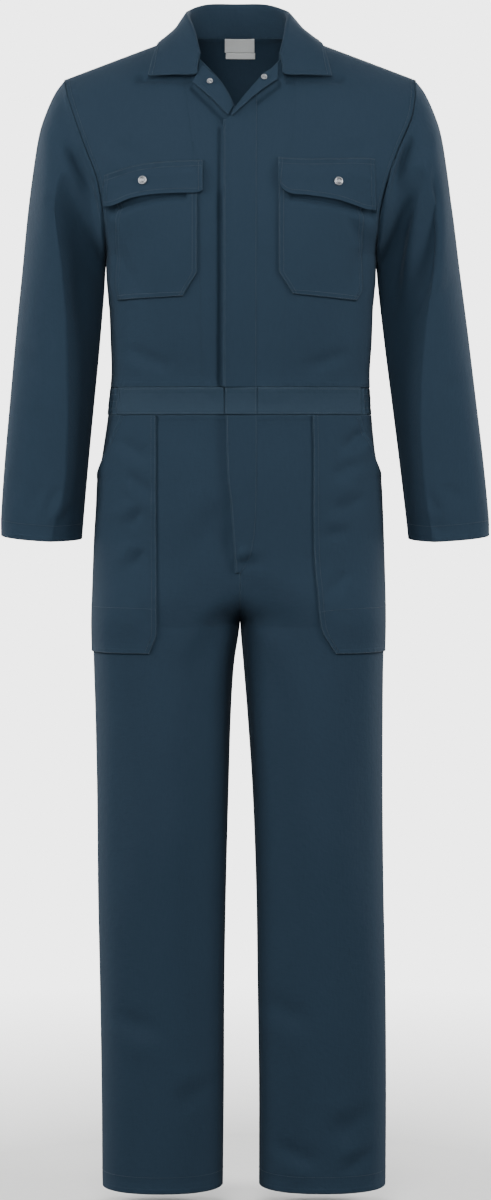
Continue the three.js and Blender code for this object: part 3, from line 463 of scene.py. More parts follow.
# The same for the sleeves, x measured outward; the first of each are the solids' folds
SLEEVE_CREASES = {
    "right front": table(CREASE_NAMES, [
        (240, -119, 208, -174, 185, -268, 10, -11, 0.4),
        (222, -112, 196, -160, 180, -222, 5, -1.8, 0.3),
        (262, -196, 250, -214, 240, -246, 8, -1.6, 0.5),
        (222, -286, 214, -340, 206, -396, 12, -3.4, 0.5),
        (300, -395, 284, -420, 262, -432, 14, -1.6, 0.5),
        (304, -470, 286, -492, 264, -500, 13, -1.5, 0.5),
        (242, -585, 256, -612, 266, -648, 8, -2.6, 0.7),
        (262, -574, 276, -604, 296, -632, 10, -1.8, 0.6),
        (226, -610, 240, -632, 262, -650, 8, -1.7, -0.6),
        (300, -560, 306, -590, 300, -624, 11, -1.3, 0.5),
    ]),
    "right back": table(CREASE_NAMES, [
        (246, -120, 222, -190, 194, -268, 15, -7, 0.3),
        (268, -222, 246, -292, 218, -346, 14, -6, 0.3),
        (278, -330, 256, -378, 232, -410, 13, -3.2, 0.5),
        (286, -410, 262, -438, 236, -450, 12, -2.4, 0.5),
        (292, -520, 272, -544, 246, -556, 13, -1.7, 0.5),
        (248, -600, 264, -626, 284, -644, 10, -1.8, 0.5),
    ]),
    "left front": table(CREASE_NAMES, [
        (236, -112, 214, -156, 205, -240, 10, -11, 0.35),
        (238, -170, 234, -262, 210, -392, 12, 11, 0),
        (260, -146, 256, -262, 226, -386, 9.5, -13, 0.25),
        (224, -110, 206, -148, 192, -186, 5, -1.8, 0.3),
        (222, -226, 218, -300, 206, -360, 8, -3.2, 0.4),
        (290, -300, 276, -326, 256, -344, 11, -1.6, 0.5),
        (306, -430, 290, -452, 266, -462, 13, -1.6, 0.5),
        (252, -590, 262, -616, 278, -646, 9, -2.2, 0.6),
        (276, -580, 292, -602, 310, -616, 10, -1.5, 0.5),
        (244, -620, 262, -640, 284, -650, 8, -1.6, -0.6),
    ]),
    "left back": table(CREASE_NAMES, [
        (250, -128, 224, -204, 196, -282, 15, -8, 0.3),
        (274, -262, 254, -340, 226, -396, 14, -6, 0.3),
        (286, -380, 262, -416, 236, -436, 13, -3.0, 0.5),
        (294, -466, 272, -492, 246, -500, 12, -2.0, 0.5),
        (300, -566, 280, -590, 256, -600, 12, -1.7, 0.5),
    ]),
}
CREASE_STEPS = 14
CREASE_DEEPER = {"front": 1.9, "back": 2.9}
EDGE_FADE = 34

# Slow drift that keeps broad cloth from lying quite even: wave lengths, turn and height
DRIFT = table("across down turn height", [
    (47, 160, 1.3, 0.55),
    (90, 74, 0.2, 0.6),
    (31, -210, 2.4, 0.3),
    (150, 118, 4.1, 0.7),
])


def crease_height(rows, x, z, fade_in=0.35, fade_out=0.55):
    """Height of all the creases in a table at points x, z."""
    total = np.zeros(x.shape)
    flat_x, flat_z = x.ravel(), z.ravel()
    for k in range(len(rows["x0"])):
        row = {name: column[k] for name, column in rows.items()}
        t = np.linspace(0, 1, CREASE_STEPS + 1)
        bend_x = 2 * row["x1"] - (row["x0"] + row["x2"]) / 2
        bend_z = 2 * row["z1"] - (row["z0"] + row["z2"]) / 2
        line_x = (1 - t) ** 2 * row["x0"] + 2 * t * (1 - t) * bend_x + t ** 2 * row["x2"]
        line_z = (1 - t) ** 2 * row["z0"] + 2 * t * (1 - t) * bend_z + t ** 2 * row["z2"]
        reach = 4 * row["width"]
        near = np.flatnonzero(
            (flat_x > line_x.min() - reach) & (flat_x < line_x.max() + reach)
            & (flat_z > line_z.min() - reach) & (flat_z < line_z.max() + reach))
        if not len(near):
            continue
        px, pz = flat_x[near, None], flat_z[near, None]
        dx, dz = np.diff(line_x), np.diff(line_z)
        along = np.clip(((px - line_x[:-1]) * dx + (pz - line_z[:-1]) * dz) / (dx ** 2 + dz ** 2), 0, 1)
        off_x, off_z = px - line_x[:-1] - along * dx, pz - line_z[:-1] - along * dz
        away = np.hypot(off_x, off_z)
        best = np.argmin(away, axis=1)
        pick = (np.arange(len(near)), best)
        signed = away[pick] * np.sign(off_x[pick] * dz[best] - off_z[pick] * dx[best])
        share = (best + along[pick]) / CREASE_STEPS
        s = signed / (row["width"] * (0.8 + 0.4 * share))
        beside = np.sign(row["lean"]) * s - 1.9
        profile = np.exp(-s ** 2) - abs(row["lean"]) * np.exp(-(beside / 1.25) ** 2)
        fade = ease(0, fade_in, share) * ease(1, fade_out, share)
        add = np.zeros(flat_x.size)
        add[near] = row["height"] * profile * fade
        total += add.reshape(x.shape)
    return total


def drift(x, z):
    total = np.zeros(x.shape)
    for across, down, turn, height in zip(*(DRIFT[k] for k in ("across", "down", "turn", "height"))):
        total += height * np.sin(x / across + turn) * np.sin(z / down + 2 * turn)
    return total


def body_relief(face, p, grooved=False):
    x, z = p[..., 0], p[..., 2]
    fade = ease(0, EDGE_FADE, np.abs(p[..., 1]))
    grooves = crease_height(GROOVES, x, z, *GROOVE_FADE) if grooved and face is FRONT else 0
    creases = CREASE_DEEPER[face.name] * crease_height(CREASES[face.name], x, z)
    return fade * (creases + drift(x, z) + grooves)


def sleeve_relief(side, u, v, p):
    x, z = side.sign * p[..., 0], p[..., 2]
    front = crease_height(SLEEVE_CREASES[side.name + " front"], x, z)
    behind = crease_height(SLEEVE_CREASES[side.name + " back"], x, z)
    fade = np.abs(np.sin(2 * np.pi * u)) * ease(0, 0.06, v)
    return fade * (np.where(u < 0.5, front, behind) + drift(x + 70 * side.sign, z))


# Cloth shells

pieces = {}
SEWN_RIM = 0.5
FREE_RIM = 0.25


def ticks(length, step, start_rim=True, end_rim=True):
    """Even shares of a length, with close rows at each rim that is rounded."""
    t = np.linspace(0, 1, max(3, round(length / step)) + 1)
    close = np.array([0.45, 1.2]) / length
    rims = [t]
    if start_rim:
        rims.append(close)
    if end_rim:
        rims.append(1 - close)
    return np.unique(np.round(np.concatenate(rims), 7))


def grid_normals(p, core, wrap=False):
    across = np.roll(p, -1, 1) - np.roll(p, 1, 1) if wrap else np.gradient(p, axis=1)
    n = unit(np.cross(across, np.gradient(p, axis=0)))
    outward = 1 if np.sum(n * (p - core(p))) >= 0 else -1
    return n * outward, outward


def axis_core(p):
    return points(0, 0, p[..., 2])


def leg_core(side):
    return lambda p: points(side.sign * section(side, p[..., 2]).centre, 0, p[..., 2])


def row_core(p):
    return np.broadcast_to(p.mean(axis=1, keepdims=True), p.shape)


def arc(p, axis):
    """Length along the rows or columns of a grid, from its start."""
    step = np.linalg.norm(np.diff(p, axis=axis), axis=-1)
    zero = np.zeros_like(np.take(step, [0], axis=axis))
    return np.concatenate([zero, np.cumsum(step, axis=axis)], axis=axis)


def make_mesh(name, vertices, faces, uv=None, edge=None):
    mesh = bpy.data.meshes.new(name)
    mesh.from_pydata((vertices / 1000).tolist(), [], faces.tolist())
    mesh.polygons.foreach_set("use_smooth", np.ones(len(mesh.polygons), bool))
    if uv is not None:
        corners = np.zeros(len(mesh.loops), int)
        mesh.loops.foreach_get("vertex_index", corners)
        layer = mesh.uv_layers.new(name="cloth")
        layer.data.foreach_set("uv", (uv[corners] / 1000).ravel())
    if edge is not None:
        attribute = mesh.attributes.new("edge", "FLOAT", "POINT")
        attribute.data.foreach_set("value", edge.astype(np.float32))
    mesh.validate()
    piece = bpy.data.objects.new(name, mesh)
    bpy.context.scene.collection.objects.link(piece)
    return piece


def rounding(rim, thick, least):
    inside = np.clip(2 * rim / thick, 0, 1)
    return least + (1 - least) * np.sqrt(1 - (1 - inside) ** 2)


def shell(node, p, n, outward, lift, thick, material, wrap=False, sewn="lrbt"):
    """A closed sheet on a grid of points: lift is its inner face's height, its rims are round.
    sewn names the borders (left, right, bottom, top) that lie in a seam or hem."""
    rows, cols = p.shape[:2]
    lift = np.broadcast_to(lift, (rows, cols))
    thick = np.broadcast_to(thick, (rows, cols))
    across, up = arc(p, 1), arc(p, 0)
    border = {"l": across, "r": across[:, -1:] - across, "b": up, "t": up[-1:] - up}
    rims = "bt" if wrap else "lrbt"
    far = np.full((rows, cols), 99.0)
    edge = np.min([far] + [border[k] for k in rims if k in sewn], axis=0)
    free = np.min([far] + [border[k] for k in rims if k not in sewn], axis=0)
    full = np.minimum(rounding(edge, thick, SEWN_RIM), rounding(free, thick, FREE_RIM))
    outer = p + n * (lift + thick * (1 + full) / 2)[..., None]
    inner = p + n * (lift + thick * (1 - full) / 2)[..., None]
    index = np.arange(rows * cols).reshape(rows, cols)
    ahead = np.roll(index, -1, 1) if wrap else index[:, 1:]
    here = index if wrap else index[:, :-1]
    a, b, c, d = here[:-1], ahead[:-1], ahead[1:], here[1:]
    face = np.stack([a, b, c, d], -1).reshape(-1, 4)
    more = rows * cols
    quads = [face, face[:, ::-1] + more]

    def close(line, forward):
        start, end = (line[:-1], line[1:]) if forward else (line[1:], line[:-1])
        quads.append(np.stack([start, start + more, end + more, end], -1))

    loop = np.append(index[0], index[0, 0]) if wrap else index[0]
    close(loop, True)
    loop = np.append(index[-1], index[-1, 0]) if wrap else index[-1]
    close(loop, False)
    if not wrap:
        close(index[:, -1], True)
        close(index[:, 0], False)
    faces = np.concatenate(quads)
    if outward < 0:
        faces = faces[:, ::-1]
    middle = np.stack([across - across[:, -1:] / 2, up - up[-1:] / 2], -1).reshape(-1, 2)
    uv = np.concatenate([middle, middle + (37, 0)])
    piece = make_mesh(
        "cloth_" + node, np.concatenate([outer.reshape(-1, 3), inner.reshape(-1, 3)]), faces,
        uv, np.tile(edge.ravel(), 2))
    piece.data.materials.append(material)
    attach(piece, "root")
    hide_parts(node)
    pieces[node] = SimpleNamespace(
        piece=piece, outer=p + n * (lift + thick)[..., None], normal=n, across=across, up=up,
        wrap=wrap)
    return piece


def spread(u, v):
    return np.meshgrid(u, v)


def refined(p, relief, core, wrap=False, upright=0.0):
    """Moves a grid by its relief and works its normals out again. Where upright is 1 the
    normals have no sideways part, so that an edge stays on its seam."""
    keep = np.stack(np.broadcast_arrays(1.0 - upright, 1.0, 1.0), axis=-1)
    n, _ = grid_normals(p, core, wrap)
    p = p + unit(n * keep) * relief[..., None]
    n, outward = grid_normals(p, core, wrap)
    return p, unit(n * keep), outward


# Materials

NAVY_LIGHT = (0.0185, 0.0365, 0.0595, 1)
NAVY_DARK = (0.0119, 0.026, 0.0436, 1)
NAVY_WORN = (0.037, 0.062, 0.0845, 1)
THREAD_NAVY = (0.03, 0.053, 0.074, 1)
BAND_LIGHT = (0.0238, 0.044, 0.0686, 1)
BAND_DARK = (0.016, 0.0326, 0.051, 1)
LABEL_WHITE = (0.62, 0.64, 0.63, 1)
STUD_SILVER = (0.42, 0.43, 0.44, 1)
STUD_DULL = (0.33, 0.34, 0.36, 1)
TWILL_PITCH = 1.3
TWILL_TURN = math.radians(-58)
WAVE_PERIOD = 2 * math.pi / 20


class Nodes:
    """Adds nodes to a material and links them by socket name."""

    def __init__(self, name):
        self.material = bpy.data.materials.new(name)
        self.material.use_nodes = True
        self.tree = self.material.node_tree
        self.shader = self.tree.nodes["Principled BSDF"]

    def add(self, kind, inputs=None, **settings):
        node = self.tree.nodes.new("ShaderNode" + kind)
        for key, value in settings.items():
            setattr(node, key, value)
        for key, value in (inputs or {}).items():
            self.set(node, key, value)
        return node

    def set(self, node, key, value):
        if isinstance(value, bpy.types.NodeSocket):
            self.tree.links.new(value, node.inputs[key])
        else:
            node.inputs[key].default_value = value

    def math(self, operation, a, b=0.0, c=0.0):
        node = self.add("Math", {0: a, 1: b, 2: c}, operation=operation)
        return node.outputs[0]

    def blend(self, factor, a, b):
        node = self.add("Mix", data_type="RGBA")
        self.set(node, 0, factor)
        self.set(node, 6, a)
        self.set(node, 7, b)
        return node.outputs[2]


def cloth_coordinates(nodes):
    """Cloth coordinates in millimetres, across and along the grain."""
    uv = nodes.add("UVMap", uv_map="cloth").outputs[0]
    return nodes.add("Mapping", {"Vector": uv, "Scale": (1000, 1000, 1000)}).outputs[0]


def noise(nodes, at, scale, stretch=(1, 1, 1), detail=2.0):
    """Noise with about one blot to each scale, in millimetres."""
    placed = nodes.add("Mapping", {"Vector": at, "Scale": stretch}).outputs[0]
    made = nodes.add("TexNoise", {"Vector": placed, "Scale": 1 / scale, "Detail": detail})
    return made.outputs["Fac"]


def twill_material(name, light=NAVY_LIGHT, dark=NAVY_DARK, worn=NAVY_WORN):
    nodes = Nodes(name)
    at = cloth_coordinates(nodes)
    turned = nodes.add("Mapping", {"Vector": at, "Rotation": (0, 0, TWILL_TURN)}).outputs[0]
    ribs = nodes.add("TexWave", {
        "Vector": turned, "Scale": WAVE_PERIOD / TWILL_PITCH, "Distortion": 0.5, "Detail": 1.0,
        "Detail Scale": 2.0,
    }).outputs["Fac"]
    slubs = noise(nodes, at, 3.2, (1, 0.16, 1))
    picks = noise(nodes, at, 2.6, (0.2, 1, 1))
    patches = noise(nodes, at, 90, detail=3.0)
    mottle = noise(nodes, at, 9)
    edge = nodes.add("Attribute", attribute_name="edge").outputs["Fac"]
    puckers = noise(nodes, at, 8)
    shade = nodes.math("MULTIPLY_ADD", slubs, 0.35, 0.05)
    shade = nodes.math("MULTIPLY_ADD", picks, 0.25, shade)
    shade = nodes.math("MULTIPLY_ADD", ribs, 0.16, shade)
    shade = nodes.math("MULTIPLY_ADD", patches, 0.3, shade)
    shade = nodes.math("MULTIPLY_ADD", mottle, 0.12, shade)
    colour = nodes.blend(shade, dark, light)
    near = nodes.add("MapRange", {0: edge, 1: 0.2, 2: 2.6, 3: 0.42, 4: 0.0}).outputs[0]
    rubbed = nodes.math("MULTIPLY", near, mottle)
    nodes.set(nodes.shader, "Base Color", nodes.blend(rubbed, colour, worn))
    nodes.shader.inputs["Roughness"].default_value = 0.82
    nodes.shader.inputs["Specular IOR Level"].default_value = 0.15
    nodes.shader.inputs["Sheen Weight"].default_value = 0.06
    nodes.shader.inputs["Sheen Roughness"].default_value = 0.45
    nodes.shader.inputs["Sheen Tint"].default_value = (0.55, 0.68, 0.85, 1)
    height = nodes.math("MULTIPLY", ribs, 0.10)
    height = nodes.math("MULTIPLY_ADD", slubs, 0.16, height)
    height = nodes.math("MULTIPLY_ADD", picks, 0.12, height)
    height = nodes.math("MULTIPLY_ADD", mottle, 0.5, height)
    pull = nodes.add("MapRange", {0: edge, 1: 2.0, 2: 15.0, 3: 1.5, 4: 0.0}).outputs[0]
    height = nodes.math("ADD", height, nodes.math("MULTIPLY", puckers, pull))
    welt = nodes.add("MapRange", {0: edge, 1: 6.0, 2: 8.0, 3: 0.35, 4: 0.0}).outputs[0]
    height = nodes.math("ADD", height, welt)
    groove = nodes.add("MapRange", {0: edge, 1: 0.0, 2: 0.9, 3: -0.5, 4: 0.0}).outputs[0]
    height = nodes.math("ADD", height, groove)
    bump = nodes.add("Bump", {"Strength": 0.9, "Distance": 0.001, "Height": height})
    nodes.set(nodes.shader, "Normal", bump.outputs[0])
    return nodes.material


def thread_material():
    nodes = Nodes("sewing_thread")
    at = nodes.add("TexCoord").outputs["Object"]
    twist = nodes.add("TexNoise", {"Vector": at, "Scale": 900.0, "Detail": 1.0}).outputs["Fac"]
    nodes.set(nodes.shader, "Base Color", nodes.blend(twist, NAVY_LIGHT, THREAD_NAVY))
    nodes.shader.inputs["Roughness"].default_value = 0.55
    nodes.shader.inputs["Sheen Weight"].default_value = 0.1
    return nodes.material


def stud_material():
    nodes = Nodes("satin_nickel")
    at = nodes.add("TexCoord").outputs["Object"]
    wear = nodes.add("TexNoise", {"Vector": at, "Scale": 700.0, "Detail": 4.0}).outputs["Fac"]
    tone = nodes.blend(wear, STUD_DULL, STUD_SILVER)
    nodes.set(nodes.shader, "Base Color", tone)
    nodes.shader.inputs["Metallic"].default_value = 1.0
    nodes.set(nodes.shader, "Roughness", nodes.math("MULTIPLY_ADD", wear, 0.25, 0.3))
    return nodes.material


def label_material():
    nodes = Nodes("woven_label")
    at = cloth_coordinates(nodes)
    weave = nodes.add("TexChecker", {"Vector": at, "Scale": 1.6}).outputs["Fac"]
    soil = noise(nodes, at, 7)
    tone = nodes.blend(soil, (0.58, 0.6, 0.61, 1), LABEL_WHITE)
    nodes.set(nodes.shader, "Base Color", tone)
    nodes.shader.inputs["Roughness"].default_value = 0.6
    bump = nodes.add("Bump", {"Strength": 0.3, "Distance": 0.0003, "Height": weave})
    nodes.set(nodes.shader, "Normal", bump.outputs[0])
    return nodes.material


TWILL = twill_material("navy_twill")
BAND = twill_material("navy_twill_doubled", BAND_LIGHT, BAND_DARK)
THREAD = thread_material()
STUD = stud_material()
LABEL = label_material()

# Pieces of the body

STEP = 3.6
LEG_STEP = 6.5
NECK_HELD = 0.94


def make_front(side):
    u = np.unique(np.append(ticks(300, STEP), NECK_SHARE))
    v = np.unique(np.append(ticks(470, STEP), ARM_SHARE))
    u, v = spread(u, v)
    p = front_form(side, u, v)
    p, n, outward = refined(p, body_relief(FRONT, p, True) * ease(1, NECK_HELD, v), axis_core)
    sewn = "rbt" if side is LEFT else "lrbt"
    shell("front_" + side.name, p, n, outward, -CLOTH, CLOTH, TWILL, sewn=sewn)


def make_back():
    half = ticks(300, STEP, start_rim=False)
    half = np.unique(np.append(half, NECK_SHARE))
    u = np.concatenate([-half[:0:-1], half])
    v = np.unique(np.append(ticks(470, STEP), ARM_SHARE))
    u, v = spread(u, v)
    p = back_form(u, v)
    p, n, outward = refined(p, body_relief(BACK, p) * ease(1, NECK_HELD, v), axis_core)
    shell("back", p, n, outward, -CLOTH, CLOTH, TWILL)


def make_sleeve(side):
    u = np.linspace(0, 1, 161)[:-1]
    v = ticks(560, STEP)
    u, v = spread(u, v)
    p = sleeve_form(side, u, v)
    p[0] += unit(p[1] - p[0]) * SEAM
    p, n, outward = refined(p, sleeve_relief(side, u, v, p), row_core, wrap=True)
    thick = mix(CLOTH, HEM_CLOTH, ease(CUFF_HEM_T - 0.006, CUFF_HEM_T, v))
    shell("sleeve_" + side.name, p, n, outward, -thick, thick, TWILL, wrap=True)


def make_leg(side, face):
    u = ticks(230, LEG_STEP)
    tall = LEG_TOP_Z - HEM_Z
    v = np.unique(np.append(ticks(tall, LEG_STEP), [(CROTCH_Z - HEM_Z) / tall, HEM_DEEP / tall]))
    u, v = spread(u, v)
    p = leg_form(side, face, u, v)
    z_up = p[..., 2].copy()
    middle = ease(0.94, 1, u) * (z_up > CROTCH_Z)
    p, n, outward = refined(p, body_relief(face, p, True), leg_core(side), upright=middle)
    deep = (p[..., 2] - HEM_Z)
    thick = mix(HEM_CLOTH, CLOTH, ease(HEM_DEEP - 3, HEM_DEEP, deep))
    shell(f"leg_{face.name}_{side.name}", p, n, outward, -thick, thick, TWILL)


for side in SIDES:
    make_front(side)
    make_sleeve(side)
    for face in (FRONT, BACK):
        make_leg(side, face)
make_back()

# Waistband

LAP_X = {"right": -20.4, "left": 23.2}
BAND_JOIN = 0.91
BAND_PROUD = 0.8
LAP_PROUD = 0.9
GATHERS = 32
GATHER_DEEP = 1.5
JOIN_ANGLE = math.acos(BAND_JOIN ** (TORSO["square"][-1] / 2))


def band_point(side, face, z, angle):
    level = section(side, z)
    x = level.half * power(np.cos(angle), 2 / level.square)
    y = face.sign * getattr(level, face.name) * np.abs(np.sin(angle)) ** (2 / level.square)
    return points(side.sign * x, y, z)


def make_band_front(side):
    inner = LAP_X["left"] - SEAM_LAP if side is LEFT else SEAM - LAP_X["right"]
    start = float(leg_angle(side, WAIST_BOTTOM_Z, inner))
    u, v = spread(ticks(160, STEP), ticks(37, STEP))
    z = mix(WAIST_BOTTOM_Z, WAIST_TOP_Z, v)
    p = band_point(side, FRONT, z, mix(start, JOIN_ANGLE, u))
    p, n, outward = refined(p, body_relief(FRONT, p), axis_core)
    shell(
        "waistband_" + side.name, p, n, outward, -CLOTH, CLOTH + BAND_PROUD, BAND, sewn="rbt")


def make_band_lap():
    u, v = spread(ticks(44, STEP), ticks(37, STEP))
    z = mix(WAIST_BOTTOM_Z, WAIST_TOP_Z, v)
    p = on_face(FRONT, mix(LAP_X["right"], LAP_X["left"], u), z)
    p, n, outward = refined(p, body_relief(FRONT, p), axis_core)
    thick = CLOTH + BAND_PROUD + LAP_PROUD * ease(1, 0.6, u)
    shell("waistband_lap", p, n, outward, -CLOTH, thick, BAND, sewn="bt")


def make_band_back():
    """The elastic back: even gathers held down by three rows of stitches."""
    reach = math.pi / 2 + JOIN_ANGLE - 2 * SEAM / float(section(LEFT, WAIST_BOTTOM_Z).half)
    u, v = spread(np.linspace(-1, 1, GATHERS * 10 + 1), ticks(37, 2.4))
    z = mix(WAIST_BOTTOM_Z, WAIST_TOP_Z, v)
    turn = reach * np.abs(u)
    angle = np.abs(math.pi / 2 - turn)
    parts = {}
    for side in SIDES:
        parts[side.name] = np.where(
            (turn <= math.pi / 2)[..., None],
            band_point(side, BACK, z, angle), band_point(side, FRONT, z, angle))
    p = np.where((u < 0)[..., None], parts["right"], parts["left"])
    n, outward = grid_normals(p, axis_core)
    held = 0.42 + 0.58 * np.abs(np.sin(4 * np.pi * v)) ** 0.7
    uneven = 1 + 0.25 * np.sin(23 * u + 5 * v)
    wave = GATHER_DEEP * held * uneven * np.sin(np.pi * GATHERS * u + 0.5 * np.sin(9 * v + 31 * u))
    lift = -CLOTH - GATHER_DEEP / 2 + np.clip(wave, -GATHER_DEEP, GATHER_DEEP)
    shell("waistband_back", p, n, outward, lift, CLOTH, BAND)


for side in SIDES:
    make_band_front(side)
make_band_lap()
make_band_back()

# Placket, fly and neck facings

PLACKET_TOP = table("x z", [(-22, -100.5), (-14, -97.5), (-5.4, -82), (9, -65), (23, -48)])
FLY = table("z x0 x1", [
    (-491.8, -19, 23), (-536, -18.2, 23), (-577, -16.5, 23), (-612, -12.5, 22.5),
    (-648, -10, 20.5), (-672, -8.5, 16.5), (-690, -7.5, 10.5), (-702, -6.8, 2),
])
LAPEL = {
    "right": table("fold_x fold_z out_x out_z", [
        (50, -24.5, 62.5, -50), (41, -33, 53, -59), (30, -43.5, 41, -69.5),
        (20, -58, 30, -80.5), (12.5, -71.5, 21, -90), (8.5, -81, 15.5, -95.5),
    ]),
    "left": table("fold_x fold_z out_x out_z", [
        (50, -23, 49.5, -47), (38, -33.5, 39, -54), (28, -41.5, 28.5, -61.5),
        (17, -54, 18, -70), (6, -67, 8, -79.5), (-4, -80, -1.5, -88.5), (-12, -93, -10, -97),
    ]),
}
LAPEL_LIFT = {"right": (0.7, 5), "left": (2.9, 6)}
STRIP_OPEN = 0.5
STRIP_ROLL = 0.8
FLUSH = 0.12


def on_panel(node, p, lift, core=axis_core, sewn="lrbt", more=0.0, grooved=False):
    relief = body_relief(FRONT, p, grooved) + more
    p, n, outward = refined(p, relief, core)
    return shell(node, p, n, outward, lift, CLOTH, TWILL, sewn=sewn)


def one_sided(u):
    """Lift of a strip that is free on its left and sewn down flush on its right."""
    return mix(ON_PANEL + STRIP_OPEN, FLUSH - CLOTH, ease(0.35, 0.97, u))


def make_placket():
    u, v = spread(ticks(44, 3), ticks(385, STEP))
    x = mix(PLACKET_TOP["x"][0], PLACKET_TOP["x"][-1], u)
    p = on_face(FRONT, x, mix(TORSO_FOOT_Z, read(PLACKET_TOP, "x", x, "z"), v))
    on_panel("placket_upper", p, one_sided(u), sewn="l", more=STRIP_ROLL * np.exp(-(u / 0.3) ** 2))


def make_fly():
    u, v = spread(ticks(42, 3), ticks(210, STEP))
    z = mix(FLY["z"][-1], FLY["z"][0], v)
    p = on_face(FRONT, mix(read(FLY, "z", z, "x0"), read(FLY, "z", z, "x1"), u), z)
    on_panel("fly_lower", p, one_sided(u), sewn="l", more=STRIP_ROLL * np.exp(-(u / 0.3) ** 2))


def row_read(rows, v, name):
    """A column read by its share of the way down the table."""
    column = rows[name]
    return through(np.arange(len(column), dtype=float), column, v * (len(column) - 1))


def make_lapel(side):
    rows = LAPEL[side.name]
    u, v = spread(ticks(29, 2.4), ticks(86, 2.6))
    x = side.sign * mix(row_read(rows, v, "fold_x"), row_read(rows, v, "out_x"), u)
    z = mix(row_read(rows, v, "fold_z"), row_read(rows, v, "out_z"), u)
    low, high = LAPEL_LIFT[side.name]
    lift = mix(low, high, np.sin(np.pi / 2 * u))
    on_panel("lapel_" + side.name, on_face(FRONT, x, z), lift, sewn="r")


make_placket()
make_fly()
for side in SIDES:
    make_lapel(side)

# Pockets and flaps

CHEST_POCKET = {
    "right": table("z_inner z_outer inner outer", [
        (-334, -338, 75, 162), (-319, -322, 66.5, 164), (-303, -305, 56.5, 164.5),
        (-277, -280, 56.5, 164.5), (-250, -254, 56.5, 164.5), (-225, -231, 56.5, 164.5),
        (-202, -210, 56.5, 164), (-181, -190, 56.5, 163.5),
    ]),
    "left": table("z_inner z_outer inner outer", [
        (-331, -339, 69.5, 154), (-317, -325, 61, 162.5), (-302, -304, 51, 163.5),
        (-277, -280, 51, 163.5), (-250, -254, 51, 163.5), (-225, -231, 51, 163.5),
        (-202, -210, 51, 163.5), (-181, -190, 51, 163.5),
    ]),
}
POCKET_SIDE_LIFT = 0.5
FLAP = {
    "right": table("x top bottom lift", [
        (49, -154, -195, 3.6), (55, -154, -198, 4.4), (76, -154.5, -198.5, 4.6),
        (100, -155.5, -199, 4.6), (125, -158, -201, 5), (145, -162, -205, 7.5),
        (160, -166, -210.5, 8), (172, -169.5, -213, 5), (180, -172, -212, 3.6),
    ]),
    "left": table("x top bottom lift", [
        (50.5, -150, -183, 3.6), (56, -150.5, -193, 5), (66, -151, -199.5, 6),
        (86, -151.5, -201, 5), (108, -151, -203.5, 4.8), (130, -150.5, -207, 5),
        (150, -150, -213, 5), (165, -150, -218, 4.2), (179, -150.5, -218, 3.6),
    ]),
}
FLAP_ROWS = table("share near free", [
    (0, 3.4, 1), (0.3, 3.4, 0.2), (0.62, 3.3, 0), (0.84, 0.9, 0), (1, 0.7, 0),
])
HIP_POCKET = {
    "right": table("z inner mouth", [
        (-811, 121, 1), (-796, 115, 1), (-786, 111.3, 1), (-775, 111, 1), (-752, 111, 1),
        (-727, 111, 1), (-700, 111, 1), (-680, 111, 1), (-648, 111, 1), (-612, 111, 1),
        (-577, 111, 0.999), (-571, 111, 0.991), (-558, 111, 0.975), (-536, 111, 0.945),
        (-513, 111, 0.91), (-491.8, 111, 0.876),
    ]),
    "left": table("z inner mouth", [
        (-811, 128, 1), (-796, 118, 1), (-786, 112, 1), (-775, 108, 1), (-752, 105, 1),
        (-727, 103, 1), (-700, 100, 1), (-680, 98.8, 1), (-648, 98, 1), (-612, 97.6, 1),
        (-577, 97.6, 0.999), (-571, 97.6, 0.991), (-558, 97.6, 0.975), (-536, 97.3, 0.945),
        (-513, 96.5, 0.91), (-491.8, 96, 0.876),
    ]),
}
MOUTH_GAPE = 2.4


def straight(rows, v, name):
    column = rows[name]
    return np.interp(v * (len(column) - 1), np.arange(len(column)), column)


def make_chest_pocket(side):
    rows = CHEST_POCKET[side.name]
    u, v = spread(ticks(115, 3), ticks(155, 3))
    x = mix(straight(rows, v, "inner"), straight(rows, v, "outer"), u)
    z = mix(straight(rows, v, "z_inner"), straight(rows, v, "z_outer"), u)
    lift = ON_PANEL + POCKET_SIDE_LIFT * ease(0.5, 0.9, u)
    full = 1.2 * np.sin(np.pi * u) * np.sin(np.pi * np.clip(v, 0, 1)) ** 0.8
    on_panel(
        "chest_pocket_" + side.name, on_body(side, FRONT, x, z), lift, sewn="lrb", more=full,
        grooved=True)


def make_flap(side):
    rows = FLAP[side.name]
    u, v = spread(ticks(132, 3), ticks(48, 2.4))
    x = mix(rows["x"][0], rows["x"][-1], u)
    z = mix(read(rows, "x", x, "bottom"), read(rows, "x", x, "top"), v)
    near = read(FLAP_ROWS, "share", v, "near")
    free = read(FLAP_ROWS, "share", v, "free")
    lift = near + free * (read(rows, "x", x, "lift") - FLAP_ROWS["near"][0])
    on_panel("pocket_flap_" + side.name, on_body(side, FRONT, x, z), lift, sewn="lrt")


def make_hip_pocket(side):
    rows = HIP_POCKET[side.name]
    u, v = spread(ticks(165, STEP), ticks(325, STEP))
    z = mix(rows["z"][0], rows["z"][-1], v)
    inner = np.interp(z, rows["z"], rows["inner"])
    mouth = np.interp(z, rows["z"], rows["mouth"])
    level = section(side, z)
    start = leg_angle(side, z, level.centre + level.half * mouth)
    end = leg_angle(side, z, inner)
    p = leg_point(side, FRONT, z, mix(start, end, u))
    gape = ON_PANEL + MOUTH_GAPE * ease(-580, -568, z) * (1 - u) ** 2
    on_panel("hip_pocket_" + side.name, p, gape, core=leg_core(side), sewn="lrb")


for side in SIDES:
    make_chest_pocket(side)
    make_flap(side)
    make_hip_pocket(side)

# Collar and labels

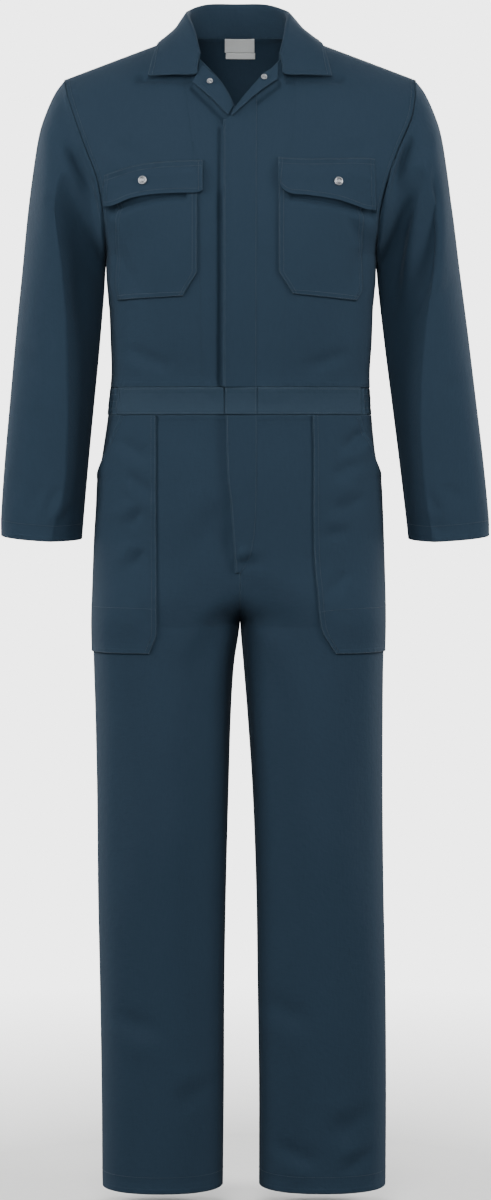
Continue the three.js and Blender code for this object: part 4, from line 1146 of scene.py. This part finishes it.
COLLAR = table("s fold_x fold_y fold_z mid_x mid_y mid_z edge_x edge_y edge_z", [
    (0, 0, 76, 73, 0, 83, 44, 0, 84, 14),
    (0.2, 39, 66, 71.5, 45, 72, 43, 51, 74, 14),
    (0.4, 64, 36, 61, 80, 44, 38, 95, 46, 15),
    (0.6, 68, -4, 49, 86, -4, 32, 110, -4, 14),
    (0.8, 62.5, -36, 30, 86, -40, 12, 116, -46, -8),
    (1, 53.5, -70, -9, 59, -84, -37, 123, -72, -39),
])
COLLAR_SHOULDER = 0.6
COLLAR_FOLD_RADIUS = 3.2
COLLAR_SEAT = -1.2
COLLAR_LEAN = 0.1
COLLAR_END = {"right": [78, 77, 74, 66, 54], "left": [78, 77, 74, 65, 53]}


def collar_seam(side, s):
    """Where the collar meets the neck edge: round the back, then down the front."""
    behind = s <= COLLAR_SHOULDER
    x_back = NECK_HALF * np.sin(np.pi / 2 * np.minimum(1, s / COLLAR_SHOULDER))
    z_back = mix(BACK_NECK_Z, NECK_POINT_Z, (x_back / NECK_HALF) ** 2)
    back = on_body(side, BACK, x_back, z_back)
    back[..., 1] = np.maximum(back[..., 1], SEAM / 2)
    x_front = np.interp(s, np.linspace(COLLAR_SHOULDER, 1, 5), COLLAR_END[side.name])
    front = on_body(side, FRONT, x_front, read(NECK_EDGE[side.name], "x", x_front, "z"))
    return np.where(behind[..., None], back, front)


def collar_profile(side, s):
    """Points up the stand, over the fold and down the fall, for each station s."""

    def spot(name):
        x, y, z = (read(COLLAR, "s", s, f"{name}_{k}") for k in "xyz")
        return points(side.sign * x - COLLAR_LEAN * np.maximum(0, z - NECK_POINT_Z), y, z)

    seam, fold, middle, edge = collar_seam(side, s), spot("fold"), spot("mid"), spot("edge")
    up = unit(fold - seam)
    out = middle - fold
    out = unit(out - up * np.sum(out * up, axis=-1, keepdims=True))
    start = seam + up * COLLAR_SEAT
    turns = []
    for k in range(5):
        angle = math.pi * k / 4
        turns.append(fold + up * COLLAR_FOLD_RADIUS * (math.sin(angle) - 1)
                     - out * COLLAR_FOLD_RADIUS * math.cos(angle))
    steps = [start, (start + turns[0]) / 2, *turns, (turns[4] + middle) / 2, middle,
             (middle + edge) / 2, edge]
    return np.stack(steps)


def make_collar():
    half = ticks(175, 3, start_rim=False)
    right = collar_profile(RIGHT, half[::-1])
    left = collar_profile(LEFT, half[1:])
    steps = np.concatenate([right, left], axis=1)
    knots = np.concatenate([[0], np.cumsum(np.linalg.norm(np.diff(steps, axis=0), axis=-1).mean(axis=1))])
    v = ticks(knots[-1], 2.6) * knots[-1]
    p = through(knots, steps, v)
    s = np.concatenate([half[::-1], half[1:]])
    fall = ease(knots[6], knots[-1], v)[:, None]
    wave = 1.1 * np.sin(7.5 * s + 0.6)[None, :] * fall
    n, _ = grid_normals(p, lambda q: points(0, 0, q[..., 2] - 200))
    p = p + n * wave[..., None]
    n, outward = grid_normals(p, lambda q: points(0, 0, q[..., 2] - 200))
    shell("collar", p, n, outward, -COLLAR_CLOTH / 2, COLLAR_CLOTH, TWILL, sewn="lrt")


LABELS = {"label": (-21.5, 20.5, 8.7, 26.6), "label_strip": (-20, 21.5, 0, 8.2)}
LABEL_CLOTH = 1


def make_label(name):
    x0, x1, z0, z1 = LABELS[name]
    u, v = spread(ticks(x1 - x0, 1.5), ticks(z1 - z0, 1.5))
    p = on_face(BACK, mix(x0, x1, u), mix(z0, z1, v))
    n, outward = grid_normals(p, axis_core)
    lift = -CLOTH - ON_PANEL - LABEL_CLOTH - 0.5 * np.sin(np.pi * u) * (1 - v)
    shell(name, p, n, outward, lift, LABEL_CLOTH, LABEL, sewn="t")


make_collar()
for name in LABELS:
    make_label(name)

# Press studs: a turned cap with a rolled rim round a small dome

STUDS = [
    ("neck", RIGHT, 39.5, -49.5, 4.2, 6.2),
    ("neck", LEFT, 31.5, -44.5, 4.2, 7.2),
    ("flap", RIGHT, 128, -181, 6, 5.6),
    ("flap", LEFT, 130, -182, 6, 5.6),
]
STUD_PROFILE = [
    (0, 1.3), (0.2, 1.25), (0.34, 0.95), (0.42, 0.45), (0.5, 0.3), (0.6, 0.6), (0.7, 1.5),
    (0.8, 1.8), (0.9, 1.62), (0.97, 1.1), (1, 0.5), (0.95, 0.08), (0.9, 0),
]
STUD_SIDES = 48


def make_stud(on, side, x, z, radius, seat):
    middle = on_body(side, FRONT, np.array(x), np.array(z))
    ring = np.array([radius, -radius, 0, 0])
    around = on_body(side, FRONT, x + ring, z + ring[::-1])
    normal = unit(np.cross(around[0] - around[1], around[3] - around[2]))
    normal = -normal if normal[1] > 0 else normal
    across = unit(np.cross(normal, (0, 0, 1)))
    up = np.cross(across, normal)
    relief = body_relief(FRONT, middle[None])[0]
    seat_at = middle + normal * (seat + relief)
    angle = 2 * np.pi * np.arange(STUD_SIDES) / STUD_SIDES
    circle = across * np.cos(angle)[:, None] + up * np.sin(angle)[:, None]
    vertices = [seat_at + normal * STUD_PROFILE[0][1]]
    for share, height in STUD_PROFILE[1:]:
        vertices.extend(seat_at + circle * share * radius + normal * height)
    faces = []
    for k in range(STUD_SIDES):
        following = (k + 1) % STUD_SIDES
        faces.append((0, 1 + following, 1 + k))
        for ring_no in range(len(STUD_PROFILE) - 2):
            low, high = 1 + ring_no * STUD_SIDES, 1 + (ring_no + 1) * STUD_SIDES
            faces.append((low + k, low + following, high + following, high + k))
    last = 1 + (len(STUD_PROFILE) - 2) * STUD_SIDES
    faces.append(tuple(last + k for k in range(STUD_SIDES)))
    node = f"stud_{on}_{side.name}"
    mesh = bpy.data.meshes.new(node)
    mesh.from_pydata([tuple(v / 1000) for v in vertices], [], faces)
    mesh.polygons.foreach_set("use_smooth", np.ones(len(faces), bool))
    mesh.polygons[len(faces) - 1].use_smooth = False
    mesh.validate()
    piece = bpy.data.objects.new("metal_" + node, mesh)
    bpy.context.scene.collection.objects.link(piece)
    mesh.materials.append(STUD)
    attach(piece, "root")
    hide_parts(node)


for stud in STUDS:
    make_stud(*stud)

# Sewing: each stitch is a short thick thread lying on the cloth

STITCH_PITCH = 3.1
STITCH_LONG = 2.3
STITCH_HALF = 0.26
STITCH_RISE = 0.18
STITCH_RINGS = ((-0.5, 0.45), (-0.2, 1.0), (0.2, 1.0), (0.5, 0.45))


def rail(node, border, inset, start=0.0, end=1.0):
    """The line on a piece's outer face that runs at an inset from one of its borders."""
    made = pieces[node]
    outer, normal = made.outer, made.normal
    if border in "lr":
        along = made.across if border == "l" else made.across[:, -1:] - made.across
        values = np.concatenate([outer, normal], axis=-1)
    else:
        along = (made.up if border == "b" else made.up[-1:] - made.up).T
        values = np.concatenate([outer, normal], axis=-1).transpose(1, 0, 2)
    if border in "rt":
        along, values = along[:, ::-1], values[:, ::-1]
    line = np.array([
        [np.interp(inset, row, value[:, k]) for k in range(6)] for row, value in zip(along, values)])
    keep = slice(round(start * (len(line) - 1)), round(end * (len(line) - 1)) + 1)
    line = line[keep]
    return line[:, :3], unit(line[:, 3:])


def stitches(lines):
    """Vertices and faces of the stitches along lines of (points, normals)."""
    vertices, faces = [], []
    for p, n in lines:
        far = np.concatenate([[0], np.cumsum(np.linalg.norm(np.diff(p, axis=0), axis=1))])
        count = int(far[-1] / STITCH_PITCH)
        for k in range(count):
            middle = (k + 0.5) * far[-1] / count
            ends = [middle + STITCH_LONG * share for share, _ in STITCH_RINGS]
            spots = np.array([[np.interp(e, far, p[:, a]) for a in range(3)] for e in ends])
            up = np.array([np.interp(middle, far, n[:, a]) for a in range(3)])
            side = np.cross(unit(spots[-1] - spots[0]), up)
            base = len(vertices)
            for (_, size), spot in zip(STITCH_RINGS, spots):
                half = STITCH_HALF * size
                top = spot + up * (STITCH_RISE + half)
                low = spot + up * (STITCH_RISE - 2 * half)
                vertices.extend([spot + side * half + up * STITCH_RISE, top,
                                 spot - side * half + up * STITCH_RISE, low])
            for ring_no in range(len(STITCH_RINGS) - 1):
                at = base + 4 * ring_no
                for m in range(4):
                    nxt = (m + 1) % 4
                    faces.append((at + m, at + nxt, at + 4 + nxt, at + 4 + m))
            top_ring = base + 4 * (len(STITCH_RINGS) - 1)
            faces.append((base + 3, base + 2, base + 1, base))
            faces.append((top_ring, top_ring + 1, top_ring + 2, top_ring + 3))
    return np.array(vertices), faces


def sew(name, lines):
    vertices, faces = stitches(lines)
    mesh = bpy.data.meshes.new(name)
    mesh.from_pydata((vertices / 1000).tolist(), [], faces)
    mesh.polygons.foreach_set("use_smooth", np.ones(len(faces), bool))
    mesh.validate()
    piece = bpy.data.objects.new(name, mesh)
    bpy.context.scene.collection.objects.link(piece)
    mesh.materials.append(THREAD)
    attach(piece, "root")


def sew_suit():
    for side in SIDES:
        name = side.name
        front, sleeve = "front_" + name, "sleeve_" + name
        sew("stitches_front_" + name, [
            rail(front, "r", 6, 0.46, 1), rail(front, "t", 6, NECK_SHARE, 0.98),
        ])
        sew("stitches_sleeve_" + name, [rail(sleeve, "t", 22)])
        lines = []
        for face in (FRONT, BACK):
            leg = f"leg_{face.name}_{name}"
            lines.append(rail(leg, "b", 23, 0.01, 0.99))
        lines.append(rail(f"leg_back_{name}", "l", 2.2, 0.02, 0.99))
        lines.append(rail(f"leg_back_{name}", "l", 8.2, 0.02, 0.99))
        sew("stitches_leg_" + name, lines)
        pocket, flap, hip = (f"{k}_{name}" for k in ("chest_pocket", "pocket_flap", "hip_pocket"))
        sew("stitches_chest_pocket_" + name, [
            rail(pocket, "l", 1.6), rail(pocket, "r", 1.6), rail(pocket, "b", 1.6),
            rail(pocket, "l", 6.6, 0.04, 1), rail(pocket, "r", 6.6, 0.04, 1), rail(pocket, "b", 6.6, 0.05, 0.95),
        ])
        sew("stitches_pocket_flap_" + name, [
            rail(flap, "l", 6, 0.12, 1), rail(flap, "b", 6, 0.05, 0.95), rail(flap, "r", 6, 0.12, 1),
            rail(flap, "t", 8, 0.02, 0.98), rail(flap, "t", 1.6, 0.01, 0.99),
        ])
        sew("stitches_hip_pocket_" + name, [
            rail(hip, "r", 1.6), rail(hip, "r", 7, 0.03, 1), rail(hip, "b", 1.6, 0.02, 0.98),
            rail(hip, "l", 7, 0.72, 0.99), rail(hip, "b", 62, 0.02, 0.98),
        ])
        band = "waistband_" + name
        sew("stitches_waistband_" + name, [rail(band, "b", 2.5), rail(band, "t", 2.5)])
    sew("stitches_back", [
        rail("back", "t", 4, 0.29, 0.71),
    ])
    sew("stitches_elastic", [
        rail("waistband_back", "b", d, 0.02, 0.98) for d in (1.8, 9.4, 18.6, 27.8, 35.4)])
    sew("stitches_placket", [rail("placket_upper", "l", 2.2), rail("placket_upper", "r", 2.2)])
    sew("stitches_fly", [rail("fly_lower", "l", 2.2), rail("fly_lower", "r", 1.8)])
    sew("stitches_band_lap", [
        rail("waistband_lap", k, 2.5, 0.05, 0.95) for k in "lrbt"])
    sew("stitches_collar", [rail("collar", "t", 6, 0.02, 0.98)])


sew_suit()

# Floor, light and camera

FLOOR_Z = -1.575
FLOOR_WHITE = (0.88, 0.88, 0.87, 1)
FLOOR_REACH = 40
FLOOR_SIDES = 64
FLOOR_FADE = (0.5, 2.0)
STUDIO_GLOW = 4.0
STUDIO_FILL = 0.15
EYE = Vector((0, -5.0, -0.516))
AIM = Vector((0.0075, 0, -0.743))
LENS = 110.0


def floor_material():
    """Pale paper that fades into the glow of the studio all round it."""
    nodes = Nodes("studio_paper")
    at = nodes.add("TexCoord").outputs["Object"]
    grain = nodes.add("TexNoise", {"Vector": at, "Scale": 60.0, "Detail": 3.0}).outputs["Fac"]
    nodes.set(nodes.shader, "Base Color", nodes.blend(grain, (0.84, 0.84, 0.83, 1), FLOOR_WHITE))
    nodes.shader.inputs["Roughness"].default_value = 0.9
    away = nodes.add("VectorMath", {0: at}, operation="LENGTH").outputs["Value"]
    near, far = FLOOR_FADE
    fade = nodes.add("MapRange", {0: away, 1: near, 2: far, 3: 0.0, 4: 1.0}).outputs[0]
    glow = nodes.add("Emission", {"Color": (1, 1, 1, 1), "Strength": STUDIO_GLOW})
    both = nodes.add("MixShader", {0: fade, 1: nodes.shader.outputs[0], 2: glow.outputs[0]})
    nodes.set(nodes.tree.nodes["Material Output"], "Surface", both.outputs[0])
    return nodes.material


def make_floor():
    rim = [2 * math.pi * k / FLOOR_SIDES for k in range(FLOOR_SIDES)]
    vertices = [(FLOOR_REACH * math.cos(a), FLOOR_REACH * math.sin(a), 0) for a in rim]
    mesh = bpy.data.meshes.new("studio_floor")
    mesh.from_pydata(vertices, [], [tuple(range(FLOOR_SIDES))])
    floor = bpy.data.objects.new("studio_floor", mesh)
    bpy.context.scene.collection.objects.link(floor)
    floor.location = (0, 0, FLOOR_Z)
    floor.visible_diffuse = False
    floor.visible_glossy = False
    mesh.materials.append(floor_material())


def area_light(name, place, target, size, power, colour=(1, 1, 1)):
    light = bpy.data.lights.new(name, "AREA")
    light.shape = "RECTANGLE"
    light.size, light.size_y = size
    light.energy = power
    light.color = colour
    lamp = bpy.data.objects.new(name, light)
    bpy.context.scene.collection.objects.link(lamp)
    lamp.location = place
    lamp.rotation_mode = "QUATERNION"
    lamp.rotation_quaternion = (Vector(target) - Vector(place)).to_track_quat("-Z", "Y")


make_floor()
area_light("front", (-0.3, -3.4, 0.8), (0, 0, -0.7), (1.8, 1.6), 100)
area_light("side_left", (-2.3, -1.0, 0.0), (0, 0, -0.7), (1.0, 2.6), 52)
area_light("side_right", (2.3, -1.0, 0.0), (0, 0, -0.7), (1.0, 2.6), 52)
area_light("back_left", (-2.2, 1.6, 0.2), (0, 0, -0.7), (1.0, 2.4), 55)
area_light("back_right", (2.2, 1.6, 0.2), (0, 0, -0.7), (1.0, 2.4), 55)
area_light("back", (0.3, 3.6, 1.2), (0, 0, -0.6), (1.8, 1.6), 100)
area_light("above", (0, 0, 2.6), (0, 0, -0.8), (2.0, 2.0), 12)


def make_world():
    """Dim light from all round, behind which the camera sees a bright plain studio."""
    world = bpy.data.worlds.new("studio")
    bpy.context.scene.world = world
    world.use_nodes = True
    tree = world.node_tree
    seen = tree.nodes.new("ShaderNodeLightPath").outputs["Is Camera Ray"]
    strength = tree.nodes.new("ShaderNodeMapRange")
    tree.links.new(seen, strength.inputs[0])
    strength.inputs[3].default_value = STUDIO_FILL
    strength.inputs[4].default_value = STUDIO_GLOW
    sky = tree.nodes["Background"]
    sky.inputs["Color"].default_value = (1, 1, 1, 1)
    tree.links.new(strength.outputs[0], sky.inputs["Strength"])


make_world()

lens = bpy.data.cameras.new("photo_camera")
lens.lens = LENS
lens.sensor_width = 36.0
lens.clip_end = 60
camera = bpy.data.objects.new("photo_camera", lens)
bpy.context.scene.collection.objects.link(camera)
camera.location = EYE
camera.rotation_mode = "QUATERNION"
camera.rotation_quaternion = (AIM - EYE).to_track_quat("-Z", "Y")
bpy.context.scene.camera = camera

bpy.context.view_layer.update()
